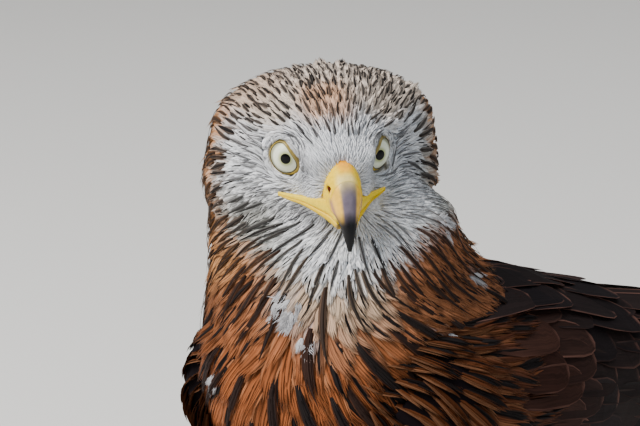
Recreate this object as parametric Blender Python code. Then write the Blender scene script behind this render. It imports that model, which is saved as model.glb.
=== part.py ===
"""Red kite, life size, standing on flat ground with its wings folded and its head turned to its own left.

Tables and lengths are in millimetres and become metres where a mesh is made. Until the last step the
frame is: X to the bird's left, Y to its tail, Z up from the ground, with the head above Y = 0. The last
step slides the bird so that the origin is under the middle of its box.
"""

import math
import random

import bmesh
import bpy
import numpy as np

# Lengths in millimetres, angles in degrees
MM = 0.001
GAP = 0.3
WING_GAP = 0.5
SEED = 7

# Neck and breast: flat rings that turn about a line above the back, from level at the throat to upright.
# Turn of the ring, reach from the line to the nape and to the breast, half width, middle in X
BEND_LINE = (80, 226)
BEND = [
    (-26, 40, 67, 37, -30.5),
    (-14, 30, 76, 50.5, -26.0),
    (0, 24, 87, 59.3, -16.9),
    (8, 22, 99, 58.2, -14.0),
    (18, 20, 120, 55.8, -7.8),
    (30, 20, 144, 59.5, -3),
    (45, 23, 158, 67, 0),
    (60, 26, 155, 70, 0),
    (75, 29, 147, 71, 0),
    (90, 31, 142, 69, 0),
]
NECK_TOP_TURN = -26
NECK_END_TURN = 22
BODY_POWER = 2.2
BODY_SIDES = 26

# Torso behind the breast, stations along Y: half width, top, bottom
TORSO = [
    (80, 69, 195, 84),
    (100, 65, 190, 83),
    (125, 57, 181.5, 86),
    (155, 47, 171, 93),
    (185, 36, 160, 102),
    (212, 26, 149, 113),
]

# Head frame: its origin is midway between the eyes
HEAD_AT = np.array([0.0, 0.0, 252.0])
HEAD_TURN = 48
HEAD_DIP = 10

# Head stations along its own forward axis: half width, top, bottom, shift to the left
HEAD = [
    (-64.5, 12, 3, -15, 1.2),
    (-60.5, 26, 12, -25, 1.8),
    (-53.5, 38.5, 20, -38, 3.8),
    (-44, 47.5, 25, -50, 4.6),
    (-32, 48.4, 27, -50, 4.2),
    (-20, 43.2, 26.5, -45, 2.4),
    (-10, 33, 24.5, -38, 0.6),
    (0, 21.8, 20, -30, 0),
    (8, 16.8, 14, -25, 0),
    (15, 12.5, 8.6, -21.5, 0),
    (20, 9.0, 4.2, -18, 0),
    (23, 5.5, 1, -14, 0),
]
HEAD_POWERS = (2.1, 3.0)
HEAD_FLARE = 0.2
HEAD_SIDES = 28
HEAD_RINGS = 18

# Eyes, brows and the hollows before the eyes, in the head frame
EYE_RADIUS = 9.0
EYE_OPENING = (1.0, 20.9, 0.1)
EYE_SINK = 6.4
SOCKET_FLATS = 0.93
EYE_OUTWARD = 43
LID_RING = 6.9
LID_THICK = 1.15
BROW = [(14, 11.5, 5), (8, 16.5, 7.6), (0, 22.5, 10.2), (-10, 30, 9.5)]
BROW_RISE = 2.8
BROW_WIDTH = 4.4
HOLLOW = [(9, 15.5, 0.5), (5, 19.5, -4)]
HOLLOW_DEPTH = 1.6
HOLLOW_WIDTH = 5.0

# Bill stations: top and bottom in the head frame (forward, up), half width
UPPER_BILL = [
    (0, 13, 6.0, 10, -15.5, 7.6),
    (1, 19, 4.8, 17, -15.8, 7.9),
    (2, 24.5, 2.6, 23.5, -15.8, 7.7),
    (3, 29.3, -0.6, 28, -16.0, 6.7),
    (4, 33.0, -5.0, 31, -17.2, 5.2),
    (5, 35.8, -11.0, 33.2, -19.4, 3.9),
    (6, 37.6, -17.0, 35.0, -22.0, 2.8),
    (7, 38.7, -22.8, 36.7, -25.2, 1.8),
    (8, 39.0, -28.2, 38.0, -28.5, 0.7),
]
CERE_END = 3.0
BILL_SIDES = 16
LOWER_BILL = [
    (0, 8, -17.4, 8, -23.4, 7.4),
    (1, 15, -17.6, 15, -23.8, 6.8),
    (2, 22.5, -17.6, 22.5, -23.4, 5.6),
    (3, 28, -17.8, 28, -22.2, 4.2),
    (4, 31.4, -18.6, 31.2, -21.0, 2.6),
]
# Edge of the mouth, from the side of the bill back to its corner under the eye, and its thickness
GAPE = [
    (25, 6.3, -13.6, 1.1),
    (18.5, 9.6, -13.4, 1.2),
    (12, 14.0, -14.1, 1.15),
    (7, 18.0, -14.9, 0.95),
    (2.9, 21.2, -15.4, 0.65),
]
GAPE_DROP = 2.75
NOSTRIL = (24.8, 7.5, -5.6)
NOSTRIL_SIZE = (2.8, 1.6, 1.0)
NOSTRIL_TILT = 10

# Folded wing: a shell round the body. Stations along it from the wrist back: level, half width, half height
WRIST_Y = -14
SHELL = [
    (-12, 144, 59, 44),
    (0, 145, 70, 49),
    (30, 147, 78, 53),
    (60, 147, 79, 53),
    (100, 142, 76, 52),
    (150, 133, 66, 46.5),
    (200, 124, 55, 42),
    (260, 114, 45, 37),
    (330, 105, 35, 30),
    (400, 98, 27, 23),
    (500, 88, 20, 16),
]
# The folded arm with its coverts: place along the shell, lowest and highest angle, base height, thickness
ARM = [
    (-10, -18, 14, -9, 4),
    (-3, -27, 26, -4, 8),
    (15, -32, 40, -0.4, 10),
    (60, -33, 66, 0, 10),
    (100, -34, 80, 0, 12),
    (165, -34, 84, -1.2, 12),
]
# Tiers of coverts: furthest tips along the shell, share of the tier's length that its tips stand out, rise
COVERT_TIERS = [(26, 0.3, 1.3), (52, 0.42, 1.6), (86, 0.42, 1.7), (166, 0.26, 1.9)]
COVERT_TILES = 6
COVERT_STEP = 1.0
TILE_PLACES = [0, 0.1, 0.5, 0.6]
ARM_UNDER = [-10, 0, 60, 120]
# Scapulars over the coverts and tertials: share of the length, height
SCAPULAR_RISE = [(0, -4), (0.13, 3.1), (0.7, 3.7), (1.0, 3.3)]
SCAPULAR_ROOT = 90
SCAPULAR_LENGTH = 126
SCAPULAR_ANGLES = (42, 88)
SCAPULAR_TILES = 3
VANE_THICK = 0.6
SECONDARY_COUNT = 7
SECONDARY_ROOT = 138
SECONDARY_ANGLES = (-17, 59)
SECONDARY_TIPS = (240, 312)
SECONDARY_WIDTH = 16
SECONDARY_STEP = 1.15
SECONDARY_RISE = (-3, 2.6, 140)
PRIMARY_TIPS = [352, 386, 418, 446, 466, 473]
PRIMARY_WIDTH = 13.5
PRIMARY_THICK = 0.5
PRIMARY_STACK = 0.92
PRIMARY_CAMBER = 1.2
# The blade that the folded primaries make: place along the shell, angle, depth of the top one, step sideways
BLADE = [
    (134, 7, -6.6, 3.0),
    (190, 13, -6.6, 2.6),
    (245, 19, -6.4, 2.2),
    (300, 25, -4.6, 1.8),
    (370, 32, -1.2, 1.4),
    (480, 42, -0.6, 0.8),
]

# Tail: base point, slope, feather pairs from the middle outwards
TAIL_BASE = (206, 131)
TAIL_SLOPE = 12.5
TAIL_ROOT = [(2, 23, 19, 19), (25, 20, 14.5, 16), (50, 17.5, 8.5, 14), (77, 15.5, 4, 12.6)]
TAIL_LENGTHS = [272, 282, 295, 311, 330, 352]
TAIL_STACK = 0.85
TAIL_SPREAD = 6.0
TAIL_WIDTH = 17.0
TAIL_VANE_THICK = 0.5
TAIL_SIDES = 18
TAIL_SINK = 52
# Tail coverts above and below: root along the tail, tip of the middle one, half width, heights at both ends
TAIL_COVERTS = [(24, 110, 10, (11, 2.2)), (34, 140, 10, (-12, -13.2))]
TAIL_COVERT_SPOTS = (-9, 9, 0)

# Thigh: level, middle across and along, half width, half length. Toes: name, heading, length, radius, claw
THIGH = [
    (52, 37, 88, 8.5, 10),
    (64, 37, 83, 12, 15),
    (80, 36.5, 76, 18, 22),
    (98, 36, 68, 24, 29),
    (118, 35, 60, 25, 32),
]
ANKLE = (37, 89, 58)
FOOT_AT = (39, 76, 10)
TOES = [
    ("inner", 158, 33, 4.6, 19),
    ("middle", 183, 44, 4.8, 18),
    ("outer", 213, 35, 4.5, 15),
    ("hind", 2, 24, 4.9, 20),
]
SOLE_CUT = 0.7
CLAW_BEND = 62
CLAW_ARCH = 2.6

# Outlines of a feather: share of its length, share of its half width
LONG_VANE = [(0, 0.3), (0.1, 0.72), (0.35, 1.0), (0.72, 0.98), (0.91, 0.7), (1.0, 0.18)]
SHORT_VANE = [(0, 0.6), (0.4, 1.0), (0.8, 0.8), (1.0, 0.2)]


def smooth(table, places):
    """Rows of a table at the given first-column places, on a smooth curve through its rows."""
    table = np.asarray(table, float)
    x, y = table[:, 0], table[:, 1:]
    slope = np.gradient(y, x, axis=0)
    places = np.atleast_1d(np.asarray(places, float))
    i = np.clip(np.searchsorted(x, places, side="right") - 1, 0, len(x) - 2)
    step = (x[i + 1] - x[i])[:, None]
    t = (places - x[i])[:, None] / step
    return (
        y[i] * (1 + 2 * t) * (1 - t) ** 2
        + slope[i] * step * t * (1 - t) ** 2
        + y[i + 1] * t * t * (3 - 2 * t)
        + slope[i + 1] * step * t * t * (t - 1)
    )


def eased(t):
    t = np.clip(t, 0, 1)
    return t * t * (3 - 2 * t)


def unit(v):
    return np.asarray(v, float) / np.linalg.norm(v)


def oval(half_width, top, bottom, power, sides):
    """A rounded ring in its own plane: pairs of across and up, with its own size above and below."""
    angle = 2 * math.pi * np.arange(sides) / sides
    across = half_width * np.sign(np.cos(angle)) * np.abs(np.cos(angle)) ** (2 / power)
    up = np.sign(np.sin(angle)) * np.abs(np.sin(angle)) ** (2 / power)
    return across, np.where(up > 0, up * top, up * bottom)


def make_object(name, points, faces):
    """A mesh object from points in millimetres, with its faces turned outwards."""
    mesh = bpy.data.meshes.new(name)
    mesh.from_pydata([tuple(p) for p in np.asarray(points) * MM], [], faces)
    shape = bmesh.new()
    shape.from_mesh(mesh)
    bmesh.ops.recalc_face_normals(shape, faces=shape.faces)
    shape.to_mesh(mesh)
    shape.free()
    obj = bpy.data.objects.new(name, mesh)
    bpy.context.scene.collection.objects.link(obj)
    return obj


def loft(name, rings):
    """A closed solid through rings of equal count, with a fan at each end."""
    rings = [np.asarray(r, float) for r in rings]
    sides = len(rings[0])
    points = np.vstack(rings + [rings[0].mean(0), rings[-1].mean(0)])
    first_middle, last_middle = len(points) - 2, len(points) - 1
    last = (len(rings) - 1) * sides
    faces = []
    for k in range(len(rings) - 1):
        for j in range(sides):
            n = (j + 1) % sides
            a, b, c, d = k * sides + j, k * sides + n, (k + 1) * sides + n, (k + 1) * sides + j
            faces += [(a, b, c), (a, c, d)]
    for j in range(sides):
        n = (j + 1) % sides
        faces.append((first_middle, n, j))
        faces.append((last_middle, last + j, last + n))
    return make_object(name, points, faces)


def tube(name, path, radii, sides=10):
    """A closed round tube along a path."""
    path = [np.asarray(p, float) for p in path]
    rings = []
    side = None
    for k, point in enumerate(path):
        along = unit(path[min(k + 1, len(path) - 1)] - path[max(k - 1, 0)])
        guide = np.array([0.0, 0.0, 1.0]) if abs(along[2]) < 0.9 else np.array([0.0, 1.0, 0.0])
        side = unit(np.cross(along, guide)) if side is None else unit(side - along * (side @ along))
        up = np.cross(side, along)
        angle = 2 * math.pi * np.arange(sides) / sides
        rings.append(point + radii[k] * (np.outer(np.cos(angle), side) + np.outer(np.sin(angle), up)))
    return loft(name, rings)


def largest_shell(mesh):
    """Keeps only the largest closed surface of a mesh."""
    shape = bmesh.new()
    shape.from_mesh(mesh)
    bmesh.ops.remove_doubles(shape, verts=shape.verts, dist=1e-7)
    unseen = set(shape.faces)
    shells = []
    while unseen:
        stack = [unseen.pop()]
        shell = list(stack)
        while stack:
            for edge in stack.pop().edges:
                for face in edge.link_faces:
                    if face in unseen:
                        unseen.remove(face)
                        shell.append(face)
                        stack.append(face)
        shells.append(shell)
    shells.sort(key=lambda shell: sum(face.calc_area() for face in shell))
    dropped = [face for shell in shells[:-1] for face in shell]
    bmesh.ops.delete(shape, geom=dropped, context="FACES")
    bmesh.ops.triangulate(shape, faces=shape.faces)
    shape.to_mesh(mesh)
    shape.free()


def boolean(target, tools, operation, solver="EXACT"):
    """Applies one Boolean of the target with closed tool objects, and removes the tools."""
    collection = bpy.data.collections.new("tools")
    bpy.context.scene.collection.children.link(collection)
    for tool in tools:
        bpy.context.scene.collection.objects.unlink(tool)
        collection.objects.link(tool)
    modifier = target.modifiers.new("boolean", "BOOLEAN")
    modifier.operand_type = "COLLECTION"
    modifier.collection = collection
    modifier.operation = operation
    modifier.solver = solver
    graph = bpy.context.evaluated_depsgraph_get()
    mesh = bpy.data.meshes.new_from_object(target.evaluated_get(graph))
    target.modifiers.clear()
    target.data = mesh
    for tool in tools:
        bpy.data.objects.remove(tool)
    bpy.data.collections.remove(collection)
    largest_shell(mesh)
    mesh.name = target.name
    return target


def fuse(target, pieces, solver="EXACT"):
    return boolean(target, pieces, "UNION", solver)


def cut(target, *tools, solver="EXACT"):
    return boolean(target, list(tools), "DIFFERENCE", solver)


def box(name, low, high):
    corners = [(x, y, z) for x in (low[0], high[0]) for y in (low[1], high[1]) for z in (low[2], high[2])]
    faces = [(0, 1, 3, 2), (4, 6, 7, 5), (0, 4, 5, 1), (2, 3, 7, 6), (0, 2, 6, 4), (1, 5, 7, 3)]
    return make_object(name, corners, faces)


def bend_rings(first, last, count, grow=0.0):
    """Flat rings of the neck and breast between two turns."""
    rings = []
    turns = np.linspace(first, last, count)
    for turn, (near, far, half_width, middle) in zip(turns, smooth(BEND, turns)):
        angle = math.radians(turn)
        half = (far - near) / 2 + grow
        across, along = oval(half_width + grow, half, half, BODY_POWER, BODY_SIDES)
        reach = (near + far) / 2 + along
        y = BEND_LINE[0] - math.cos(angle) * reach
        z = BEND_LINE[1] - math.sin(angle) * reach
        rings.append(np.column_stack([middle + across, y, z]))
    return rings


def along_bend(turn, distance):
    """A step square to a ring of the bend, towards the tail."""
    angle = math.radians(turn)
    return np.array([0, math.sin(angle), -math.cos(angle)]) * distance


def torso_solid(name, grow=0.0):
    """Breast, belly and back in one loft that starts at the cut under the neck."""
    rings = bend_rings(NECK_END_TURN, 90, 13, grow)
    rings[0] = rings[0] + along_bend(NECK_END_TURN, GAP - grow)
    places = np.linspace(TORSO[0][0], TORSO[-1][0], 8)[1:]
    for y, (half_width, top, bottom) in zip(places, smooth(TORSO, places)):
        half = (top - bottom) / 2 + grow
        across, up = oval(half_width + grow, half, half, BODY_POWER, BODY_SIDES)
        stretch = grow if y == places[-1] else 0.0
        rings.append(np.column_stack([across, np.full_like(across, y + stretch), (top + bottom) / 2 - up]))
    return loft(name, rings)


def neck_solid(name, grow=0.0):
    rings = bend_rings(NECK_TOP_TURN, NECK_END_TURN, 9, grow)
    rings[0] = rings[0] - along_bend(NECK_TOP_TURN, grow)
    rings[-1] = rings[-1] + along_bend(NECK_END_TURN, grow)
    return loft(name, rings)


def head_axes():
    """Forward, left and up of the head, as rows."""
    turn, dip = math.radians(HEAD_TURN), math.radians(HEAD_DIP)
    level = np.array([math.sin(turn), -math.cos(turn), 0.0])
    left = np.array([math.cos(turn), math.sin(turn), 0.0])
    forward = level * math.cos(dip) - np.array([0, 0, math.sin(dip)])
    return np.array([forward, left, np.cross(forward, left)])


HEAD_AXES = head_axes()


def in_head(points):
    """Places from the head frame (forward, left, up) in the bird's frame."""
    return HEAD_AT + np.atleast_2d(np.asarray(points, float)) @ HEAD_AXES


def head_ring(half_width, top, bottom):
    """A ring round the head, squarer below, where the cheeks are full."""
    above = oval(half_width, top, bottom, HEAD_POWERS[0], HEAD_SIDES)
    below = oval(half_width, top, bottom, HEAD_POWERS[1], HEAD_SIDES)
    upper = above[1] > 0
    flare = 1 - HEAD_FLARE * below[1] / bottom * eased((half_width - 20) / 25)
    return np.where(upper, above[0], below[0] * flare), np.where(upper, above[1], below[1])


def nearness(points, path, width):
    """From 1 on a path to 0 well away from it."""
    steps = np.linspace(0, len(path) - 1, 25)
    path = np.asarray(path, float)
    dense = np.array([np.interp(steps, range(len(path)), path[:, k]) for k in range(3)]).T
    apart = np.linalg.norm(points[:, None] - dense[None], axis=-1).min(1)
    return np.exp(-((apart / width) ** 2))


def shape_face(points):
    """Raises the brows and sinks the hollows between the eyes and the bill."""
    for side in (1, -1):
        mirror = np.array([1, side, 1])
        brow = nearness(points, np.array(BROW) * mirror, BROW_WIDTH)
        hollow = nearness(points, np.array(HOLLOW) * mirror, HOLLOW_WIDTH)
        points = points + brow[:, None] * BROW_RISE * unit([0.4, 0.6 * side, 0.6])
        points = points - hollow[:, None] * HOLLOW_DEPTH * unit([0.5, 0.85 * side, 0])
    return points


def head_solid(name, grow=0.0):
    share = 1 - (1 - np.linspace(0, 1, HEAD_RINGS)) ** 1.3
    places = HEAD[0][0] + share * (HEAD[-1][0] - HEAD[0][0])
    rings = []
    for f, (width, top, bottom, shift) in zip(places, smooth(HEAD, places)):
        across, up = head_ring(width + grow, top + 2 + grow, -2 - bottom + grow)
        stretch = grow * (1 if f > -30 else -1)
        ring = np.column_stack([np.full_like(across, f + stretch), across + shift, up - 2])
        rings.append(in_head(shape_face(ring)))
    return loft(name, rings)


def bill_solid(name, table, first, last, count, grow=0.0, base=0.32, powers=(2.2, 3.2)):
    """A bill half: rings between its top and bottom lines, rounder above than below."""
    rings = []
    places = np.linspace(first, last, count)
    for place, row in zip(places, smooth(table, places)):
        top, bottom, width = np.array([row[0], row[1]]), np.array([row[2], row[3]]), row[4]
        rise = top - bottom
        height = np.linalg.norm(rise)
        rise = rise / height
        middle = bottom + rise * height * base
        angle = 2 * math.pi * np.arange(BILL_SIDES) / BILL_SIDES
        power = np.where(np.sin(angle) > 0, powers[0], powers[1])
        across = (width + grow) * np.sign(np.cos(angle)) * np.abs(np.cos(angle)) ** (2 / power)
        up = np.sign(np.sin(angle)) * np.abs(np.sin(angle)) ** (2 / power)
        up = np.where(up > 0, up * (height * (1 - base) + grow), up * (height * base + grow))
        stretch = grow if place == last else (-grow if place == first else 0.0)
        flat = np.column_stack([middle[0] + rise[0] * up + stretch, across, middle[1] + rise[1] * up])
        rings.append(in_head(flat))
    return loft(name, rings)


def gape_tubes(drop, grow):
    """The fleshy edge of the mouth on each side."""
    tubes = []
    for side in (1, -1):
        path = in_head([(f, side * l, u - drop) for f, l, u, _ in GAPE])
        tubes.append(tube("gape", path, [r + grow for *_, r in GAPE], 8))
    return tubes


def upper_bill_cutter(grow):
    return fuse(bill_solid("cutter", UPPER_BILL, 0, 8, 14, grow), gape_tubes(0, grow))


def lower_bill_solid(name, grow=0.0):
    solid = bill_solid(name, LOWER_BILL, 0, 4, 8, grow, base=0.55, powers=(3.0, 2.0))
    return fuse(solid, gape_tubes(GAPE_DROP, grow))


def eye_frame(side):
    """Middle of the eyeball and the way it looks."""
    out = math.radians(EYE_OUTWARD)
    look = np.array([math.cos(out), side * math.sin(out), 0.0])
    opening = np.array([EYE_OPENING[0], side * EYE_OPENING[1], EYE_OPENING[2]])
    return opening - look * EYE_SINK, look


def ball(name, centre, radius, scale=(1, 1, 1), steps=3, turn=np.eye(3)):
    """A round ball from an icosphere, stretched along its own axes and turned into place."""
    mesh = bpy.data.meshes.new(name)
    shape = bmesh.new()
    bmesh.ops.create_icosphere(shape, subdivisions=steps, radius=1.0)
    shape.to_mesh(mesh)
    shape.free()
    points = np.array([v.co for v in mesh.vertices]) * radius * np.asarray(scale) @ turn
    faces = [tuple(p.vertices) for p in mesh.polygons]
    bpy.data.meshes.remove(mesh)
    return make_object(name, points + centre, faces)


def eye_solid(name, side):
    middle, _ = eye_frame(side)
    return ball(name, in_head(middle)[0], EYE_RADIUS)


def socket_solid(side):
    """The room for an eyeball: a coarse ball whose flats clear it."""
    middle, _ = eye_frame(side)
    return ball("cutter", in_head(middle)[0], (EYE_RADIUS + GAP) / SOCKET_FLATS, steps=2)


def lid_ring(side):
    """The bare rim round the eye, a ring lying on the eyeball."""
    middle, look = eye_frame(side)
    depth = math.sqrt(EYE_RADIUS**2 - LID_RING**2)
    up = np.array([0, 0, 1.0])
    across = np.cross(up, look)
    steps, sides = 14, 4
    points = []
    for k in range(steps):
        a = 2 * math.pi * k / steps
        spoke = math.cos(a) * across + math.sin(a) * up
        for j in range(sides):
            b = 2 * math.pi * j / sides
            r = LID_RING + LID_THICK * math.cos(b)
            points.append(middle + look * (depth + LID_THICK * math.sin(b)) + spoke * r)
    faces = []
    for k in range(steps):
        for j in range(sides):
            n, m = (k + 1) % steps, (j + 1) % sides
            faces.append((k * sides + j, n * sides + j, n * sides + m, k * sides + m))
    return make_object("lid", in_head(points), faces)


def cere_solid(name):
    cere = fuse(bill_solid(name, UPPER_BILL, 0, CERE_END, 7, 0.35), gape_tubes(0, 0.0))
    tilt = math.radians(NOSTRIL_TILT)
    slit = np.array([[math.cos(tilt), 0, -math.sin(tilt)], [0, 1, 0], [math.sin(tilt), 0, math.cos(tilt)]])
    for side in (1, -1):
        place = in_head(np.array(NOSTRIL) * (1, side, 1))[0]
        cut(cere, ball("nostril", place, 1.0, NOSTRIL_SIZE, 2, slit @ HEAD_AXES))
    return cere


def shell_point(s, angle, height=0.0, side=1):
    """A point on the folded wing's shell: s along it, angle up from the level, height outwards."""
    s, angle, height = (np.asarray(v, float) for v in np.broadcast_arrays(s, angle, height))
    level, width, tall = smooth(SHELL, s.ravel()).T
    level, width, tall = (v.reshape(s.shape) for v in (level, width, tall))
    a = np.radians(angle)
    out = np.stack([np.cos(a) / width, np.zeros_like(a), np.sin(a) / tall], axis=-1)
    out /= np.linalg.norm(out, axis=-1, keepdims=True)
    at = np.stack([np.cos(a) * width, WRIST_Y + s, level + np.sin(a) * tall], axis=-1)
    return (at + out * height[..., None]) * np.array([side, 1, 1])


def arc_per_degree(s, angle):
    """Millimetres along the shell for each degree, at a place on it."""
    step = 0.5
    return np.linalg.norm(shell_point(s, angle + step) - shell_point(s, angle - step), axis=-1) / (2 * step)


def strip_solid(name, upper, lower):
    """A closed thin plate from two grids of points, split alike on both faces."""
    rows, columns = upper.shape[:2]
    points = np.vstack([upper.reshape(-1, 3), lower.reshape(-1, 3)])
    half = rows * columns
    faces = []
    for i in range(rows - 1):
        for j in range(columns - 1):
            a, b = i * columns + j, (i + 1) * columns + j
            for t in ((a, a + 1, b + 1), (a, b + 1, b)):
                faces.append(t)
                faces.append(tuple(half + v for v in reversed(t)))
    edge = list(range(columns))
    edge += [i * columns + columns - 1 for i in range(1, rows)]
    edge += [(rows - 1) * columns + j for j in range(columns - 2, -1, -1)]
    edge += [i * columns for i in range(rows - 2, 0, -1)]
    for a, b in zip(edge, edge[1:] + edge[:1]):
        faces.append((a, b, half + b))
        faces.append((a, half + b, half + a))
    return make_object(name, points, faces)


def shell_vane(side, root, tip, half_width, rise, roll):
    """A long feather on the wing's shell, from root (s, angle) to tip.

    rise holds its middle line's height at the root, how far it climbs and over what length. roll lowers its
    upper edge by so much for each degree, so that each feather of a row lies over the one below it.
    """
    share, widths = np.array(LONG_VANE).T
    s = root[0] + share * (tip[0] - root[0])
    middle = root[1] + share * (tip[1] - root[1])
    wide = widths * half_width / arc_per_degree(s, middle)
    across = np.linspace(-1, 1, 4)
    angle = middle[:, None] + across * wide[:, None]
    height = rise[0] + rise[1] * eased((s - root[0]) / rise[2])
    lift = height[:, None] - roll * (angle - middle[:, None])
    grid = np.repeat(s[:, None], len(across), axis=1)
    upper = shell_point(grid, angle, lift + VANE_THICK / 2, side)
    lower = shell_point(grid, angle, lift - VANE_THICK / 2, side)
    return strip_solid("vane", upper, lower)


def tile_columns(count, shift):
    """Places across a row of feathers in feather widths, and each place's share of its own feather."""
    places = np.append((np.arange(count)[:, None] + np.array(TILE_PLACES)).ravel(), count)
    return places, np.round((places + shift) % 1.0, 3)


def tile_step(own):
    """Height across a feather, which lies over the one below it and under the one above."""
    return COVERT_STEP * np.where(own == 0, -0.5, 0.5 - own)


def tile_tip(own, notch):
    """How far the edge of the row reaches at each share of a feather."""
    return 1 - notch * np.abs(2 * (own - 0.55)) ** 1.5


def stitch(first, last, points):
    """Triangles between two lines of points that run the same way, each a list of indices."""
    faces = []
    i = j = 0
    while i < len(first) - 1 or j < len(last) - 1:
        done = j == len(last) - 1
        if done or i < len(first) - 1 and points[first[i + 1]][1] <= points[last[j + 1]][1]:
            faces.append((first[i], first[i + 1], last[j]))
            i += 1
        else:
            faces.append((first[i], last[j + 1], last[j]))
            j += 1
    return faces


def wing_arm(name, side):
    """The folded arm: a thick piece of the shell with its coverts in tiers that step over one another."""
    columns = len(TILE_PLACES) * COVERT_TILES + 1
    rows = [(np.full(columns, s), 0.0) for s in (ARM[0][0], ARM[1][0])]
    start = rows[-1][0]
    for k, (reach, notch, rise) in enumerate(COVERT_TIERS):
        share, own = tile_columns(COVERT_TILES, 0.5 * (k % 2))
        tip = start.max() + (reach - start.max()) * tile_tip(own, notch)
        step = tile_step(own)
        if k:
            rows.append((start + 0.4, 0.0))
        rows.append((start + 0.6 * (tip - start), 0.6 * (rise + step)))
        rows.append((tip, rise + step))
        start = tip
    share = share / share[-1]
    above = [arm_row(s, share, lift, 0.0, side) for s, lift in rows]
    edge = np.clip(np.minimum(share, 1 - share) * 5, 0.3, 1)
    under = [np.full(columns, s) for s in ARM_UNDER] + [start]
    below = [arm_row(s, share, 0.0, edge, side) for s in under]
    points = np.vstack(above + below)
    base = len(above) * columns
    faces = []
    for i in range(len(above) + len(below) - 1):
        for j in range(columns - 1):
            a, b = i * columns + j, (i + 1) * columns + j
            if i != len(above) - 1:
                faces += [(a, a + 1, b + 1), (a, b + 1, b)]
    for a, b in ((0, base), (base - columns, len(points) - columns)):
        faces += [(a + j, a + j + 1, b + j + 1, b + j) for j in range(columns - 1)]
    for j in (0, columns - 1):
        upper = list(range(j, base, columns))
        lower = list(range(base + j, len(points), columns))
        faces += stitch(upper, lower, points)
    return make_object(name, points, faces)


def arm_row(s, share, lift, depth, side):
    """A row of points over the arm's base, or under it by a share of its thickness."""
    low, high, height, thick = smooth(ARM, np.clip(s, ARM[0][0], ARM[-1][0])).T
    return shell_point(s, low + share * (high - low), height + lift - depth * thick, side)


def scapular_tier(side):
    """The longest scapulars, one plate whose feathers step over one another."""
    share, own = tile_columns(SCAPULAR_TILES, 0.0)
    inside = slice(1, -1)
    share, own = share[inside] / share[-1], own[inside]
    low, high = SCAPULAR_ANGLES
    along, height = np.array(SCAPULAR_RISE).T
    s = SCAPULAR_ROOT + SCAPULAR_LENGTH * along[:, None] * tile_tip(own, 0.25)
    angle = np.broadcast_to(low + share * (high - low), s.shape)
    lift = height[:, None] + tile_step(own) * np.minimum(1, 2 * along[:, None])
    upper = shell_point(s, angle, lift + VANE_THICK / 2, side)
    lower = shell_point(s, angle, lift - VANE_THICK / 2, side)
    return strip_solid("tier", upper, lower)


def secondary_vanes(side, rng):
    """Secondaries and tertials, the lowest first, each a little longer than the one below it."""
    vanes = []
    angles = np.linspace(*SECONDARY_ANGLES, SECONDARY_COUNT)
    tips = np.linspace(*SECONDARY_TIPS, SECONDARY_COUNT)
    roll = SECONDARY_STEP / (angles[1] - angles[0])
    for angle, tip in zip(angles, tips):
        root = (SECONDARY_ROOT, angle)
        end = (tip + rng.uniform(-3, 3), angle * 0.9 + 4)
        vanes.append(shell_vane(side, root, end, SECONDARY_WIDTH, SECONDARY_RISE, roll))
    return vanes


def primary_vanes(side):
    """Primaries from the innermost out, parallel plates, each under the one before."""
    places = np.array(BLADE)[:, 0]
    angle, depth, step = np.array(BLADE)[:, 1:].T
    spine = shell_point(places, angle, depth, side)
    across = unit(shell_point(300, 30, 0, side) - shell_point(300, 20, 0, side))
    outward = unit(shell_point(300, 25, 1, side) - shell_point(300, 25, 0, side))
    outline, widths = np.array(LONG_VANE).T
    vanes = []
    spots = np.array([-1.0, 0.0, 1.0])
    for k, tip in enumerate(PRIMARY_TIPS):
        s = np.array([p for p in places if p < tip - 60] + [tip - 42, tip - 15, tip])
        middle = np.array([np.interp(s, places, line) for line in spine.T]).T
        middle += across * np.interp(s, places, step)[:, None] * (2.5 - k)
        wide = PRIMARY_WIDTH * np.interp((s - s[0]) / (tip - s[0]), outline, widths)
        flat = middle[:, None] + (wide[:, None] * spots)[..., None] * across
        lift = -PRIMARY_STACK * k - PRIMARY_CAMBER * np.abs(spots)[:, None]
        faces = [flat + (lift + half) * outward for half in (PRIMARY_THICK / 2, -PRIMARY_THICK / 2)]
        vanes.append(strip_solid("vane", *faces))
    return vanes


def wing_solid(name, side):
    rng = random.Random(SEED)
    vanes = [scapular_tier(side)] + secondary_vanes(side, rng) + primary_vanes(side)
    return fuse(wing_arm(name, side), vanes, "MANIFOLD")


def tail_point(y, x, height):
    """A point over the tail's plane: y along it, x across and height above it."""
    slope = math.radians(TAIL_SLOPE)
    y, x, height = np.broadcast_arrays(np.asarray(y, float), x, height)
    across = x
    back = TAIL_BASE[0] + y * math.cos(slope) + height * math.sin(slope)
    level = TAIL_BASE[1] - y * math.sin(slope) + height * math.cos(slope)
    return np.stack([across, back, level], axis=-1)


def tail_vane(root, tip, half_width, heights, outline):
    """A feather over the tail's plane, from root (y, x) to tip."""
    share, widths = np.array(outline).T
    y = root[0] + share * (tip[0] - root[0])
    x = root[1] + share * (tip[1] - root[1])
    across = np.array([-1.0, 1.0])
    spots = x[:, None] + across * (widths * half_width)[:, None]
    lift = (heights[0] + share * (heights[1] - heights[0]))[:, None]
    along = y[:, None]
    faces = [tail_point(along, spots, lift + half) for half in (TAIL_VANE_THICK / 2, -TAIL_VANE_THICK / 2)]
    return strip_solid("vane", *faces)


def tail_plate(name, grow):
    """The room that the closed tail takes, as one forked plate."""
    share = np.array([0, 0.15, 0.35, 0.6, 0.8, 1.0])
    across = np.linspace(-1, 1, 7)
    reach = TAIL_LENGTHS[0] + (TAIL_LENGTHS[-1] - TAIL_LENGTHS[0]) * np.abs(across)
    along = share[:, None] * (reach + grow + 3)
    wide = 16 + 36 * share[:, None] + grow
    top = 0.6 + grow
    bottom = -TAIL_STACK * 11 - 0.6 - grow
    return strip_solid(name, tail_point(along, across * wide, top), tail_point(along, across * wide, bottom))


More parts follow.
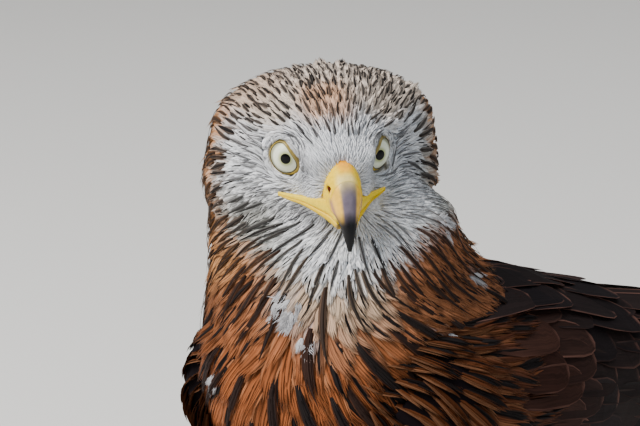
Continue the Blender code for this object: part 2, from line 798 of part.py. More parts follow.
def tail_solid(name):
    rings = []
    for y, width, top, bottom in TAIL_ROOT:
        across, up = oval(width, top, bottom, BODY_POWER, TAIL_SIDES)
        rings.append(tail_point(np.full_like(across, y), across, up))
    root = loft(name, rings)
    vanes = []
    turns = np.radians(TAIL_SPREAD * np.linspace(0.075, 1, len(TAIL_LENGTHS)))
    for k, (length, turn) in enumerate(zip(TAIL_LENGTHS, turns)):
        for side in (1, -1):
            height = -TAIL_STACK * (2 * k + (side < 0))
            base = (TAIL_SINK, side * (2 + 0.9 * k))
            tip = (length * math.cos(turn), side * (length * math.sin(turn) + 3))
            vanes.append(tail_vane(base, tip, TAIL_WIDTH, (height, height), LONG_VANE))
    for base, reach, half_width, heights in TAIL_COVERTS:
        for x in TAIL_COVERT_SPOTS:
            rise = 1.1 * np.sign(heights[0]) * (x == 0)
            tip = (reach - abs(x), x * 1.2)
            vanes.append(tail_vane((base, x), tip, half_width, np.array(heights) + rise, SHORT_VANE))
    return fuse(root, vanes)


def thigh_solid(name, side, grow=0.0):
    places = np.linspace(THIGH[0][0], THIGH[-1][0], 7)
    rings = []
    for z, (x, y, across_half, along_half) in zip(places, smooth(THIGH, places)):
        across, along = oval(across_half + grow, along_half + grow, along_half + grow, 2.0, 16)
        level = z - grow if z == places[0] else z
        rings.append(np.column_stack([side * x + across, y + along, np.full_like(across, level)]))
    return loft(name, rings)


def toe_path(side, heading, length, radius):
    """Middle line and radii of a toe, with a swelling for each pad."""
    angle = math.radians(heading)
    way = np.array([side * math.sin(angle), math.cos(angle), 0.0])
    start = np.array([side * FOOT_AT[0], FOOT_AT[1], FOOT_AT[2]])
    share = np.linspace(0, 1, 7)
    radii = radius * (1 - 0.28 * share) * (1 + 0.1 * np.cos(share * 3 * 2 * math.pi))
    level = radii - SOLE_CUT
    level = level + (start[2] - 3 - level) * (1 - np.minimum(1, share * 5)) * 0.6
    points = [np.array([start[0], start[1], 0]) + way * length * t for t in share]
    for point, height in zip(points, level):
        point[2] = height
    return points, radii, way


def foot_solid(name, side):
    ankle = np.array([side * ANKLE[0], ANKLE[1], ANKLE[2] + 12])
    base = np.array([side * FOOT_AT[0], FOOT_AT[1], FOOT_AT[2] - 2])
    share = np.linspace(0, 1, 6)
    path = [ankle + (base - ankle) * t for t in share]
    foot = tube(name, path, [5.2, 4.8, 4.3, 4.3, 4.9, 6.2], 9)
    toes = []
    for _, heading, length, radius, _ in TOES:
        points, radii, _ = toe_path(side, heading, length, radius)
        toes.append(tube("toe", points, radii, 7))
    fuse(foot, toes)
    return cut(foot, box("ground", (side * 38 - 90, -40, -30), (side * 38 + 90, 200, 0)))


def claw_solid(name, side, toe):
    """A claw, hooked down from the end of its toe with its tip just over the ground."""
    _, heading, length, radius, reach = toe
    points, radii, way = toe_path(side, heading, length, radius)
    root = points[-1] - way * 0.8
    share = np.linspace(0, 1, 5)
    bend = math.radians(CLAW_BEND)
    path = []
    for t in share:
        forward = reach * math.sin(bend * t) / bend
        drop = reach * (1 - math.cos(bend * t)) / bend
        arch = CLAW_ARCH * math.sin(math.pi * min(1, t * 1.1))
        path.append(root + way * forward + np.array([0, 0, arch - drop]))
    shift = 0.9 - min(p[2] for p in path)
    path = [p + np.array([0, 0, shift * t]) for p, t in zip(path, share)]
    widths = radii[-1] * 0.72 * (1 - share) ** 0.8 + 0.35
    toe_cover = tube("cutter", points[:-1] + [points[-1] + way * GAP], radii + GAP, 7)
    return cut(tube(name, path, widths, 6), toe_cover)


def paint(obj, name, colour, roughness, metallic=0.0):
    """Gives an object its material, made once for each name."""
    material = bpy.data.materials.get(name)
    if material is None:
        material = bpy.data.materials.new(name)
        material.use_nodes = True
        surface = material.node_tree.nodes["Principled BSDF"]
        surface.inputs["Base Color"].default_value = (*colour, 1)
        surface.inputs["Roughness"].default_value = roughness
        surface.inputs["Metallic"].default_value = metallic
    obj.data.materials.clear()
    obj.data.materials.append(material)
    obj.data.shade_smooth()
    obj.data.set_sharp_from_angle(angle=math.radians(40))


def build_head():
    head = head_solid("head")
    fuse(head, [lid_ring(1), lid_ring(-1)])
    neck = neck_solid("neck")
    cut(neck, head_solid("cutter", GAP))
    upper = bill_solid("bill_upper", UPPER_BILL, CERE_END - 0.4, 8, 12)
    cut(upper, bill_solid("cutter", UPPER_BILL, 0, CERE_END, 7, 0.35 + GAP))
    lower = lower_bill_solid("bill_lower")
    cut(lower, upper_bill_cutter(0.35 + GAP))
    for flesh in (head, neck):
        cut(flesh, upper_bill_cutter(0.35 + GAP), lower_bill_solid("cutter", GAP))
    for side, word in ((1, "left"), (-1, "right")):
        eye = eye_solid("eye_" + word, side)
        cut(head, socket_solid(side))
        paint(eye, "eye", (0.75, 0.75, 0.6), 0.1)
    paint(cere_solid("cere"), "cere_yellow", (0.86, 0.55, 0.06), 0.45)
    paint(upper, "bill_horn", (0.06, 0.055, 0.06), 0.3)
    paint(lower, "cere_yellow", (0.86, 0.55, 0.06), 0.45)
    paint(neck, "neck_feather", (0.55, 0.42, 0.33), 0.8)
    paint(head, "head_feather", (0.72, 0.7, 0.68), 0.8)


def build_leg(side, word):
    thigh = thigh_solid("thigh_" + word, side)
    cut(thigh, torso_solid("cutter", GAP))
    foot = foot_solid("foot_" + word, side)
    cut(foot, thigh_solid("cutter", side, GAP))
    for toe in TOES:
        claw = claw_solid(f"claw_{word}_{toe[0]}", side, toe)
        paint(claw, "claw_black", (0.03, 0.03, 0.03), 0.3)
    paint(thigh, "rufous", (0.45, 0.19, 0.08), 0.8)
    paint(foot, "leg_yellow", (0.82, 0.55, 0.08), 0.5)


def build_wing(side, word):
    wing = wing_solid("wing_" + word, side)
    middle = box("cutter", (-90 if side > 0 else -0.5, -60, 0), (0.5 if side > 0 else 90, 700, 300))
    neighbours = [solid("cutter", WING_GAP) for solid in (torso_solid, neck_solid, head_solid, tail_plate)]
    cut(wing, *neighbours, middle, solver="MANIFOLD")
    paint(wing, "wing_brown", (0.13, 0.075, 0.05), 0.7)


def build():
    for obj in list(bpy.data.objects):
        bpy.data.objects.remove(obj)
    torso = cut(torso_solid("torso"), head_solid("cutter", GAP))
    paint(torso, "rufous", (0.45, 0.19, 0.08), 0.8)
    build_head()
    tail = tail_solid("tail")
    cut(tail, torso_solid("cutter", GAP))
    paint(tail, "tail_rufous", (0.5, 0.2, 0.08), 0.7)
    for side, word in ((1, "left"), (-1, "right")):
        build_wing(side, word)
        build_leg(side, word)
    centre_box()


def centre_box():
    """Slides the bird so that the origin lies on the ground under the middle of its box."""
    objects = list(bpy.context.scene.collection.objects)
    corners = np.array([v.co for obj in objects for v in obj.data.vertices])
    middle = (corners.min(0) + corners.max(0)) / 2
    for obj in objects:
        for v in obj.data.vertices:
            v.co.x -= middle[0]
            v.co.y -= middle[1]


build()
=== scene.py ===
"""Looks of the red kite: skin, plumage, eyes, bill and feet over its solids, with a floor, lights and a camera.

Shapes are worked out in millimetres in the bird's design frame (X to its left, Y to its tail, Z up, the head
above Y = 0), and each mesh is moved to its place in metres as it is made.
"""

import math

import bpy
import numpy as np
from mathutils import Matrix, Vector
from mathutils.bvhtree import BVHTree


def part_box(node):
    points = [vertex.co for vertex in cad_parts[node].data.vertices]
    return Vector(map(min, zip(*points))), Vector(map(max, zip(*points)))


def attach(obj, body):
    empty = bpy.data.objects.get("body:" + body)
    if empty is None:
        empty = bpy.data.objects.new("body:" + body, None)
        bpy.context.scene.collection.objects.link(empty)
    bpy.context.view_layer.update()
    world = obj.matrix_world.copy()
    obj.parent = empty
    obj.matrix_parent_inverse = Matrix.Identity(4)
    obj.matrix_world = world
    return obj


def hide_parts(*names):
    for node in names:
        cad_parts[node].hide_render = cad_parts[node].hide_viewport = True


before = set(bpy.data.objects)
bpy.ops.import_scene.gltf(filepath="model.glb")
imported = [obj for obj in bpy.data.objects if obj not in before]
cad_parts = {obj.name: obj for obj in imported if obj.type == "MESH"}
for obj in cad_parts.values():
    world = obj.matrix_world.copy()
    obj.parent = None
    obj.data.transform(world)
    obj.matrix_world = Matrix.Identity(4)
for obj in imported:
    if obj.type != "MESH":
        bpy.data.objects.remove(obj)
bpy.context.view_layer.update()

MM = 0.001
SEED = 11

# Head frame: origin midway between the eyes, turned and dipped from the body
HEAD_AT = np.array([0.0, 0.0, 252.0])
HEAD_TURN = 48
HEAD_DIP = 10
BILL_ROOT = np.array([20.0, 0.0, -8.0])

# Eyes in the head frame: the opening's place, how far out the lids and the gaze turn
EYE_RADIUS = 9.0
EYE_OPENING = (1.0, 20.9, 0.1)
EYE_SINK = 6.4
EYE_OUTWARD = 43
GAZE_OUTWARD = {1: 21, -1: 30}
GAZE_UP = 4
LID_OPEN = 6.65
LID_WIDE = 1.65
LID_THICK = 0.62
LID_END = 8.9
# The brow cuts the round opening along a straight line, this far from its middle, this far round from the level
BROW_CHORD = 5.25
BROW_AROUND = 42
PUPIL = 2.25
IRIS = 8.6

# Brow's crest over each eye, in the head frame
BROW = [(14, 11.5, 5), (8, 16.5, 7.6), (0, 22.5, 10.2), (-10, 30, 9.5)]
BROW_RISE = 1.3
BROW_WIDTH = 4.2

# Bill stations: top and bottom in the head frame (forward, up), half width
UPPER_BILL = [
    (0, 13, 6.0, 10, -15.5, 7.6),
    (1, 19, 4.8, 17, -15.8, 7.9),
    (2, 24.5, 2.6, 23.5, -15.8, 7.7),
    (3, 29.3, -0.6, 28, -16.0, 6.7),
    (4, 33.0, -5.0, 31, -17.2, 5.2),
    (5, 35.8, -11.0, 33.2, -19.4, 3.9),
    (6, 37.6, -17.0, 35.0, -22.0, 2.8),
    (7, 38.7, -22.8, 36.7, -25.2, 1.8),
    (8, 39.0, -28.2, 38.0, -28.5, 0.7),
]
CERE_END = 3.0
LOWER_BILL = [
    (0, 8, -17.4, 8, -23.4, 7.4),
    (1, 15, -17.6, 15, -23.8, 6.8),
    (2, 22.5, -17.6, 22.5, -23.4, 5.6),
    (3, 28, -17.8, 28, -22.2, 4.2),
    (4, 31.4, -18.6, 31.2, -21.0, 2.6),
]
GAPE = [
    (31.0, 3.4, -14.5, -18.9, -21.2, 1.2),
    (25.5, 5.7, -10.2, -16.9, -19.8, 1.5),
    (18.5, 10.3, -11.6, -15.9, -18.0, 1.4),
    (12, 14.6, -12.9, -15.4, -17.0, 1.15),
    (7, 18.8, -13.8, -15.6, -16.8, 0.95),
    (2.2, 22.9, -14.6, -15.6, -16.3, 0.6),
]
MOUTH_CLEAR = 1.7
NOSTRIL = (25.0, 7.2, -5.7)
NOSTRIL_TILT = 10
NOSTRIL_SIZE = (3.1, 1.6)

# White down that shows through, at pixels of the picture: across, down, radius in millimetres
DOWN_COUNT = 2.0
DOWN_SPOTS = [
    (283, 301, 5.2),
    (292, 317, 4.4),
    (308, 340, 3.6),
    (211, 381, 2.4),
    (445, 221, 3.4),
    (475, 272, 2.6),
    (449, 336, 2.2),
]

# Line that the neck and breast bend round, in Y and Z
BEND_LINE = (80, 226)

# Folded wing: a shell round the body. Stations along it from the wrist back: level, half width, half height
WRIST_Y = -14
SHELL = [
    (-12, 144, 59, 44),
    (0, 145, 70, 49),
    (30, 147, 78, 53),
    (60, 147, 79, 53),
    (100, 142, 76, 52),
    (150, 133, 66, 46.5),
    (200, 124, 55, 42),
    (260, 114, 45, 37),
    (330, 105, 35, 30),
    (400, 98, 27, 23),
    (500, 88, 20, 16),
]
# Folded arm: place along the shell, lowest and highest angle, height, thickness
ARM = [
    (-10, -18, 14, -9, 4),
    (-3, -27, 26, -4, 8),
    (15, -32, 40, -0.4, 10),
    (60, -33, 66, 0, 10),
    (100, -34, 80, 0, 12),
    (165, -34, 84, -1.2, 12),
]
# Blade of the folded primaries: place along the shell, angle, depth, step sideways
BLADE = [
    (134, 7, -6.6, 3.0),
    (190, 13, -6.6, 2.6),
    (245, 19, -6.4, 2.2),
    (300, 25, -4.6, 1.8),
    (370, 32, -1.2, 1.4),
    (480, 42, -0.6, 0.8),
]

# Tail: base point, slope, lengths of its feathers from the middle outwards
TAIL_BASE = (206, 131)
TAIL_SLOPE = 12.5
TAIL_ROOT = [(2, 23, 19, 19), (25, 20, 14.5, 16), (50, 17.5, 8.5, 14), (77, 15.5, 4, 12.6)]
TAIL_LENGTHS = [272, 282, 295, 311, 330, 352]
TAIL_STACK = 0.85
TAIL_SPREAD = 6.0
TAIL_WIDTH = 17.0

# Legs
ANKLE = (37, 89, 58)
FOOT_AT = (39, 76, 10)
TOES = [
    ("inner", 158, 33, 4.6, 19),
    ("middle", 183, 44, 4.8, 18),
    ("outer", 213, 35, 4.5, 15),
    ("hind", 2, 24, 4.9, 20),
]
SOLE_CUT = 0.7
CLAW_BEND = 62
CLAW_ARCH = 2.6

# Camera: direction from the bird and distance, and where it looks beside the eyes' midpoint
CAMERA_TURN = 35
CAMERA_RISE = 12
CAMERA_AWAY = 2240
CAMERA_ASIDE = -5.04
CAMERA_BELOW = -24.4
LENS = 300

# Linear colours
FACE_GREY = (0.72, 0.73, 0.76)
# Painted shade: the darker grey of the lores before the eyes
LORE_SHADE_GREY = (0.42, 0.43, 0.46)
CROWN_CREAM = (0.6, 0.5, 0.42)
CROWN_BUFF = (0.56, 0.3, 0.16)
THROAT_WHITE = (0.5, 0.5, 0.47)
THROAT_CREAM = (0.45, 0.34, 0.24)
NAPE_BUFF = (0.5, 0.24, 0.1)
RUFOUS = (0.25, 0.075, 0.024)
RUFOUS_PALE = (0.42, 0.18, 0.085)
BELLY_RUFOUS = (0.38, 0.13, 0.045)
BACK_BROWN = (0.06, 0.032, 0.022)
STREAK_BLACK = (0.008, 0.006, 0.006)
STREAK_GREY = (0.1, 0.1, 0.115)
DOWN_WHITE = (0.54, 0.53, 0.55)
WING_BLACK = (0.006, 0.004, 0.005)
WING_BROWN = (0.016, 0.009, 0.008)
WING_EDGE = (0.13, 0.06, 0.045)
COVERT_RUFOUS = (0.06, 0.021, 0.012)
PRIMARY_BLACK = (0.01, 0.009, 0.01)
TAIL_RUFOUS = (0.36, 0.11, 0.035)
TAIL_EDGE = (0.5, 0.3, 0.17)
TAIL_BAR = (0.12, 0.045, 0.025)
CERE_YELLOW = (0.86, 0.55, 0.0)
CERE_ORANGE = (0.95, 0.3, 0.0)
CERE_PALE = (0.8, 0.62, 0.2)
# Pinkish painted shade along the bill's cutting edge
BAND_SHADE_PINK = (0.3, 0.15, 0.14)
# Painted shade inside the nostrils
NOSTRIL_SHADE = (0.06, 0.01, 0.003)


def smooth(table, places):
    """Rows of a table at the given first-column places, on a smooth curve through its rows."""
    table = np.asarray(table, float)
    x, y = table[:, 0], table[:, 1:]
    slope = np.gradient(y, x, axis=0)
    places = np.atleast_1d(np.asarray(places, float))
    i = np.clip(np.searchsorted(x, places, side="right") - 1, 0, len(x) - 2)
    step = (x[i + 1] - x[i])[:, None]
    t = (places - x[i])[:, None] / step
    return (
        y[i] * (1 + 2 * t) * (1 - t) ** 2
        + slope[i] * step * t * (1 - t) ** 2
        + y[i + 1] * t * t * (3 - 2 * t)
        + slope[i + 1] * step * t * t * (t - 1)
    )


def ramp(x, low, high):
    """From 0 at low to 1 at high, eased."""
    t = np.clip((np.asarray(x, float) - low) / (high - low), 0, 1)
    return t * t * (3 - 2 * t)


def unit(v):
    v = np.asarray(v, float)
    return v / np.maximum(np.linalg.norm(v, axis=-1, keepdims=True), 1e-9)


def mixed(a, b, share):
    """Rows of a towards b by each row's share."""
    share = np.asarray(share, float)
    share = share[..., None] if share.ndim else share
    return np.asarray(a) * (1 - share) + np.asarray(b) * share


def head_axes():
    """Forward, left and up of the head, as rows."""
    turn, dip = math.radians(HEAD_TURN), math.radians(HEAD_DIP)
    level = np.array([math.sin(turn), -math.cos(turn), 0.0])
    left = np.array([math.cos(turn), math.sin(turn), 0.0])
    forward = level * math.cos(dip) - np.array([0, 0, math.sin(dip)])
    return np.array([forward, left, np.cross(forward, left)])


HEAD_AXES = head_axes()


def in_head(points):
    return HEAD_AT + np.asarray(points, float) @ HEAD_AXES


def to_head(points):
    return (np.asarray(points, float) - HEAD_AT) @ HEAD_AXES.T


def eye_frame(side):
    """Middle of the eyeball and the way it looks, in the head frame."""
    out = math.radians(EYE_OUTWARD)
    look = np.array([math.cos(out), side * math.sin(out), 0.0])
    opening = np.array([EYE_OPENING[0], side * EYE_OPENING[1], EYE_OPENING[2]])
    return opening - look * EYE_SINK, look


def find_shift():
    """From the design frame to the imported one, in metres, found from the left eye."""
    low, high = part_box("eye_left")
    middle = (np.array(low) + np.array(high)) / 2
    return middle - in_head(eye_frame(1)[0]) * MM


SHIFT = find_shift()


def camera_axes():
    """Back towards the camera, right and up in its picture, as rows."""
    turn, rise = math.radians(CAMERA_TURN), math.radians(CAMERA_RISE)
    back = [math.sin(turn) * math.cos(rise), -math.cos(turn) * math.cos(rise), math.sin(rise)]
    right = [math.cos(turn), math.sin(turn), 0]
    return np.array([back, right, np.cross(back, right)])


CAMERA_AXES = camera_axes()
CAMERA_AIM = HEAD_AT + np.array([0, CAMERA_ASIDE, CAMERA_BELOW]) @ CAMERA_AXES
CAMERA_AT = CAMERA_AIM + CAMERA_AXES[0] * CAMERA_AWAY


def mesh_object(name, points, triangles, material, smooth_faces=True, uv=None, numbers=None, colours=None):
    """A piece from points in millimetres and triangles, with its own numbers and colours at each point."""
    mesh = bpy.data.meshes.new(name)
    points = np.asarray(points, float).reshape(-1, 3) * MM + SHIFT
    triangles = np.asarray(triangles, np.int32).reshape(-1, 3)
    mesh.vertices.add(len(points))
    mesh.vertices.foreach_set("co", points.ravel())
    mesh.loops.add(triangles.size)
    mesh.loops.foreach_set("vertex_index", triangles.ravel())
    mesh.polygons.add(len(triangles))
    mesh.polygons.foreach_set("loop_start", np.arange(0, triangles.size, 3, dtype=np.int32))
    flags = np.broadcast_to(np.asarray(smooth_faces), len(triangles))
    mesh.polygons.foreach_set("use_smooth", np.ascontiguousarray(flags))
    mesh.update(calc_edges=True)
    if uv is not None:
        layer = mesh.uv_layers.new(name="OFBake")
        layer.data.foreach_set("uv", np.asarray(uv, float)[triangles.ravel()].ravel())
    for word, values in (numbers or {}).items():
        mesh.attributes.new(word, "FLOAT", "POINT").data.foreach_set("value", np.asarray(values, float).ravel())
    for word, values in (colours or {}).items():
        values = np.asarray(values, float).reshape(len(points), -1)
        full = np.ones((len(points), 4))
        full[:, : values.shape[1]] = values
        mesh.attributes.new(word, "FLOAT_COLOR", "POINT").data.foreach_set("color", full.ravel())
    mesh.materials.append(material)
    obj = bpy.data.objects.new(name, mesh)
    bpy.context.scene.collection.objects.link(obj)
    return obj


def finish_piece(obj, slot, *nodes):
    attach(obj, "root")
    if nodes:
        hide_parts(*nodes)
    return obj


def ring_faces(rings, sides, first=0):
    """Triangles of a closed loft through rings, with a fan at each end on two last points."""
    faces = []
    for k in range(rings - 1):
        for j in range(sides):
            n = (j + 1) % sides
            a, b = first + k * sides + j, first + k * sides + n
            c, d = b + sides, a + sides
            faces += [(a, b, c), (a, c, d)]
    start, end = first + rings * sides, first + rings * sides + 1
    last = first + (rings - 1) * sides
    for j in range(sides):
        n = (j + 1) % sides
        faces += [(start, first + n, first + j), (end, last + j, last + n)]
    return faces


def loft_mesh(rings, flip=False):
    """Points and triangles of one closed loft."""
    rings = np.asarray(rings, float)
    count, sides = rings.shape[:2]
    points = np.vstack([rings.reshape(-1, 3), rings[0].mean(0), rings[-1].mean(0)])
    faces = np.array(ring_faces(count, sides))
    return points, faces[:, ::-1] if flip else faces


def outward(points, faces):
    """The same triangles, turned so that they face out of their closed shape."""
    a, b, c = (points[faces[:, k]] for k in range(3))
    volume = np.einsum("ij,ij->i", a, np.cross(b, c)).sum()
    return faces if volume > 0 else faces[:, ::-1]


def tube_rings(path, radii, sides, squash=1.0):
    """Rings of a round tube along a path."""
    path = np.asarray(path, float)
    rings = []
    side = None
    for k, point in enumerate(path):
        along = unit(path[min(k + 1, len(path) - 1)] - path[max(k - 1, 0)])
        guide = np.array([0.0, 0.0, 1.0]) if abs(along[2]) < 0.9 else np.array([0.0, 1.0, 0.0])
        side = unit(np.cross(along, guide)) if side is None else unit(side - along * (side @ along))
        up = np.cross(side, along)
        angle = 2 * math.pi * np.arange(sides) / sides
        ring = np.outer(np.cos(angle), side) + np.outer(np.sin(angle), up) * squash
        rings.append(point + radii[k] * ring)
    return rings


def joined(parts):
    """One set of points and triangles from several."""
    points, faces, first = [], [], 0
    for p, f in parts:
        points.append(p)
        faces.append(np.asarray(f) + first)
        first += len(p)
    return np.vstack(points), np.vstack(faces)


class Nodes:
    """A material's node tree, with short calls for its nodes."""

    def __init__(self, name):
        self.material = bpy.data.materials.new(name)
        self.material.use_nodes = True
        self.tree = self.material.node_tree
        self.shader = self.tree.nodes["Principled BSDF"]

    def add(self, kind, **settings):
        node = self.tree.nodes.new(kind)
        for word, value in settings.items():
            setattr(node, word, value)
        return node

    def link(self, source, target):
        self.tree.links.new(source, target)

    def feed(self, value, target):
        if isinstance(value, (int, float, tuple)):
            target.default_value = value
        else:
            self.link(value, target)

    def math(self, operation, a, b=0.0, c=0.0):
        node = self.add("ShaderNodeMath", operation=operation)
        for value, target in zip((a, b, c), node.inputs):
            self.feed(value, target)
        return node.outputs[0]

    def spread(self, value, low, high, start=0.0, end=1.0):
        node = self.add("ShaderNodeMapRange", interpolation_type="SMOOTHSTEP")
        for number, target in zip((value, low, high, start, end), node.inputs):
            self.feed(number, target)
        return node.outputs[0]

    def attribute(self, word, output="Fac"):
        node = self.add("ShaderNodeAttribute", attribute_name=word)
        return node.outputs[output]

    def mix(self, share, a, b, blend="MIX"):
        node = self.add("ShaderNodeMix", data_type="RGBA", blend_type=blend)
        for value, target in ((share, node.inputs[0]), (a, node.inputs[6]), (b, node.inputs[7])):
            self.feed(value if not isinstance(value, tuple) else (*value[:3], 1.0), target)
        return node.outputs[2]

    def noise(self, vector, scale, detail=2.0):
        node = self.add("ShaderNodeTexNoise")
        node.inputs["Scale"].default_value = scale
        node.inputs["Detail"].default_value = detail
        self.link(vector, node.inputs["Vector"])
        return node.outputs[0]

    def vector(self, x, y, z):
        node = self.add("ShaderNodeCombineXYZ")
        for value, target in zip((x, y, z), node.inputs):
            self.feed(value, target)
        return node.outputs[0]

    def bump(self, height, strength, distance):
        node = self.add("ShaderNodeBump")
        node.inputs["Strength"].default_value = strength
        node.inputs["Distance"].default_value = distance
        self.link(height, node.inputs["Height"])
        self.link(node.outputs[0], self.shader.inputs["Normal"])

    def surface(self, colour, roughness, specular=0.5, **more):
        self.feed((*colour, 1.0) if isinstance(colour, tuple) else colour, self.shader.inputs["Base Color"])
        self.shader.inputs["Roughness"].default_value = roughness
        self.shader.inputs["Specular IOR Level"].default_value = specular
        for word, value in more.items():
            self.shader.inputs[word.replace("_", " ")].default_value = value
        return self.material


def shaded(nodes, colour, value):
    """A colour made lighter and darker by a number."""
    grey = nodes.add("ShaderNodeCombineColor")
    for socket in grey.inputs:
        nodes.link(value, socket)
    return nodes.mix(1.0, colour, grey.outputs[0], "MULTIPLY")


def plumage_material(name, barb_depth, shine):
    """Feather colours from each vane's own marks: a streak along the shaft, edges and fine barbs."""
    nodes = Nodes(name)
    along, across = nodes.attribute("along"), nodes.attribute("across")
    lot = nodes.attribute("lot")
    marks = nodes.add("ShaderNodeSeparateXYZ")
    nodes.link(nodes.attribute("marks", "Vector"), marks.inputs[0])
    streak_wide, streak_start, edge_start = marks.outputs
    barbs = nodes.noise(
        nodes.vector(
            nodes.math("MULTIPLY_ADD", across, 11.0, nodes.math("MULTIPLY", lot, 53.0)),
            nodes.math("MULTIPLY", along, 1.8),
            nodes.math("MULTIPLY", lot, 91.0),
        ),
        1.0,
        3.0,
    )
    out = nodes.math("ABSOLUTE", across)
    rough_out = nodes.math("MULTIPLY_ADD", nodes.math("SUBTRACT", barbs, 0.5), 0.3, out)
    taper = nodes.math("MINIMUM", nodes.math("MULTIPLY", nodes.math("SUBTRACT", 1.02, along), 3.5), 1.0)
    swell = nodes.math("MULTIPLY_ADD", along, 0.6, 0.5)
    reach = nodes.math("MULTIPLY", nodes.math("MULTIPLY", streak_wide, taper), swell)
    streak = nodes.spread(rough_out, nodes.math("MULTIPLY", reach, 0.75), nodes.math("ADD", reach, 0.07), 1.0, 0.0)
    begun = nodes.spread(along, nodes.math("SUBTRACT", streak_start, 0.08), nodes.math("ADD", streak_start, 0.1))
    present = nodes.spread(streak_wide, 0.0, 0.04)
    streak = nodes.math("MULTIPLY", nodes.math("MULTIPLY", streak, begun), present)
    edge = nodes.spread(rough_out, edge_start, nodes.math("ADD", edge_start, 0.15))
    tip = nodes.spread(along, nodes.math("MULTIPLY_ADD", edge_start, 0.35, 0.62), 1.0)
    edge = nodes.math("MAXIMUM", edge, tip)
    colour = nodes.mix(edge, nodes.attribute("tint", "Color"), nodes.attribute("rim", "Color"))
    colour = nodes.mix(streak, colour, nodes.attribute("dark", "Color"))
    colour = shaded(nodes, colour, nodes.spread(barbs, 0.25, 0.75, 0.68, 1.26))
    nodes.bump(barbs, 0.3, barb_depth)
    return nodes.surface(colour, 0.65, shine)


def skin_material():
    nodes = Nodes("skin_under_plumage")
    place = nodes.add("ShaderNodeTexCoord").outputs["Object"]
    grain = nodes.noise(place, 900.0, 3.0)
    colour = shaded(nodes, nodes.attribute("tint", "Color"), nodes.spread(grain, 0.3, 0.7, 0.7, 1.15))
    nodes.bump(grain, 0.4, 0.0006)
    return nodes.surface(colour, 0.8, 0.25)


def plain_material(name, colour, roughness, specular=0.5, **more):
    return Nodes(name).surface(colour, roughness, specular, **more)


def tinted_material(name, roughness, grain_scale, grain_depth, specular=0.5, shades=(0.85, 1.12), **more):
    """Colour from the piece's own points, with a fine grain."""
    nodes = Nodes(name)
    place = nodes.add("ShaderNodeTexCoord").outputs["Object"]
    grain = nodes.noise(place, grain_scale, 3.0)
    colour = shaded(nodes, nodes.attribute("tint", "Color"), nodes.spread(grain, 0.3, 0.7, *shades))
    nodes.bump(grain, 0.25, grain_depth)
    return nodes.surface(colour, roughness, specular, **more)


class Surface:
    """A closed surface of quads with smooth normals, and the nearest place on it."""

    def __init__(self, points, faces):
        self.points, self.faces = points, faces
        self.tree = BVHTree.FromPolygons(points.tolist(), faces.tolist())
        self.normals = self.point_normals()

    def point_normals(self):
        p = self.points[self.faces]
        face = np.cross(p[:, 2] - p[:, 0], p[:, 3] - p[:, 1])
        total = np.zeros_like(self.points)
        for k in range(4):
            np.add.at(total, self.faces[:, k], face)
        return unit(total)

    def project(self, points):
        """Nearest places on the surface and the normals there."""
        found = np.empty((len(points), 3))
        index = np.empty(len(points), int)
        nearest = self.tree.find_nearest
        for i, p in enumerate(points.tolist()):
            place, _, face, _ = nearest(p)
            found[i] = place
            index[i] = face
        corners = self.faces[index]
        away = np.linalg.norm(self.points[corners] - found[:, None], axis=-1) + 1e-3
        weights = 1 / away
        normals = (self.normals[corners] * weights[..., None]).sum(1)
        return found, unit(normals)

    def eased(self, rounds, strength=0.6):
        """The same surface after rounds of smoothing."""
        a = self.faces.ravel()
        b = np.roll(self.faces, -1, axis=1).ravel()
        points = self.points.copy()
        count = np.bincount(a, minlength=len(points)) + np.bincount(b, minlength=len(points))
        for _ in range(rounds):
            total = np.zeros_like(points)
            np.add.at(total, a, points[b])
            np.add.at(total, b, points[a])
            points += (total / count[:, None] - points) * strength
        return Surface(points, self.faces)


def outer_surface():
    """One smooth surface round the solids of flesh, at the tips of the body's feathers."""
    parts = []
    for name in ("head", "neck", "torso", "thigh_left", "thigh_right"):
        mesh = bpy.data.objects[name].data
        mesh.calc_loop_triangles()
        points = np.array([v.co for v in mesh.vertices])
        normals = np.array([v.normal for v in mesh.vertices])
        faces = np.array([t.vertices[:] for t in mesh.loop_triangles])
        parts.append(((points - SHIFT) / MM + normals * 0.5, faces))
    rings = []
    for y, width, top, bottom in [(-14, 24, 20, 20), *TAIL_ROOT]:
        angle = 2 * math.pi * np.arange(24) / 24
        up = np.where(np.sin(angle) > 0, np.sin(angle) * top, np.sin(angle) * bottom)
        rings.append(tail_point(y, np.cos(angle) * width, up))
    points, faces = loft_mesh(rings)
    parts.append((points, outward(points, faces)))
    points, faces = joined(parts)
    holder = mesh_object("outer", points, faces, None)
    remesh = holder.modifiers.new("remesh", "REMESH")
    remesh.mode = "VOXEL"
    remesh.voxel_size = 0.0017
    remesh.adaptivity = 0
    graph = bpy.context.evaluated_depsgraph_get()
    mesh = bpy.data.meshes.new_from_object(holder.evaluated_get(graph))
    points = np.empty(len(mesh.vertices) * 3)
    mesh.vertices.foreach_get("co", points)
    corners = np.empty(len(mesh.loops), np.int32)
    mesh.loops.foreach_get("vertex_index", corners)
    bpy.data.objects.remove(holder)
    points = (points.reshape(-1, 3) - SHIFT) / MM
    faces = corners.reshape(-1, 4)
    surface = largest_surface(points, faces).eased(6)
    q = to_head(surface.points)
    collar = 1.5 * ramp(-bill_distance(surface.points), -24, -12) + 1.2 * ramp(q[:, 2], -1, 4) * ramp(q[:, 0], 8, 16)
    q = to_head(surface.points + surface.normals * collar[:, None])
    near = ramp(-np.linalg.norm(q - (21, 0, -7), axis=-1), -17, -13)
    narrow = 1 - 0.6 * ramp(q[:, 0], 19.8, 22) * near
    q[:, 1:] = (q[:, 1:] - (0, -7)) * narrow[:, None] + (0, -7)
    return Surface(raised_brows(in_head(q)), surface.faces)


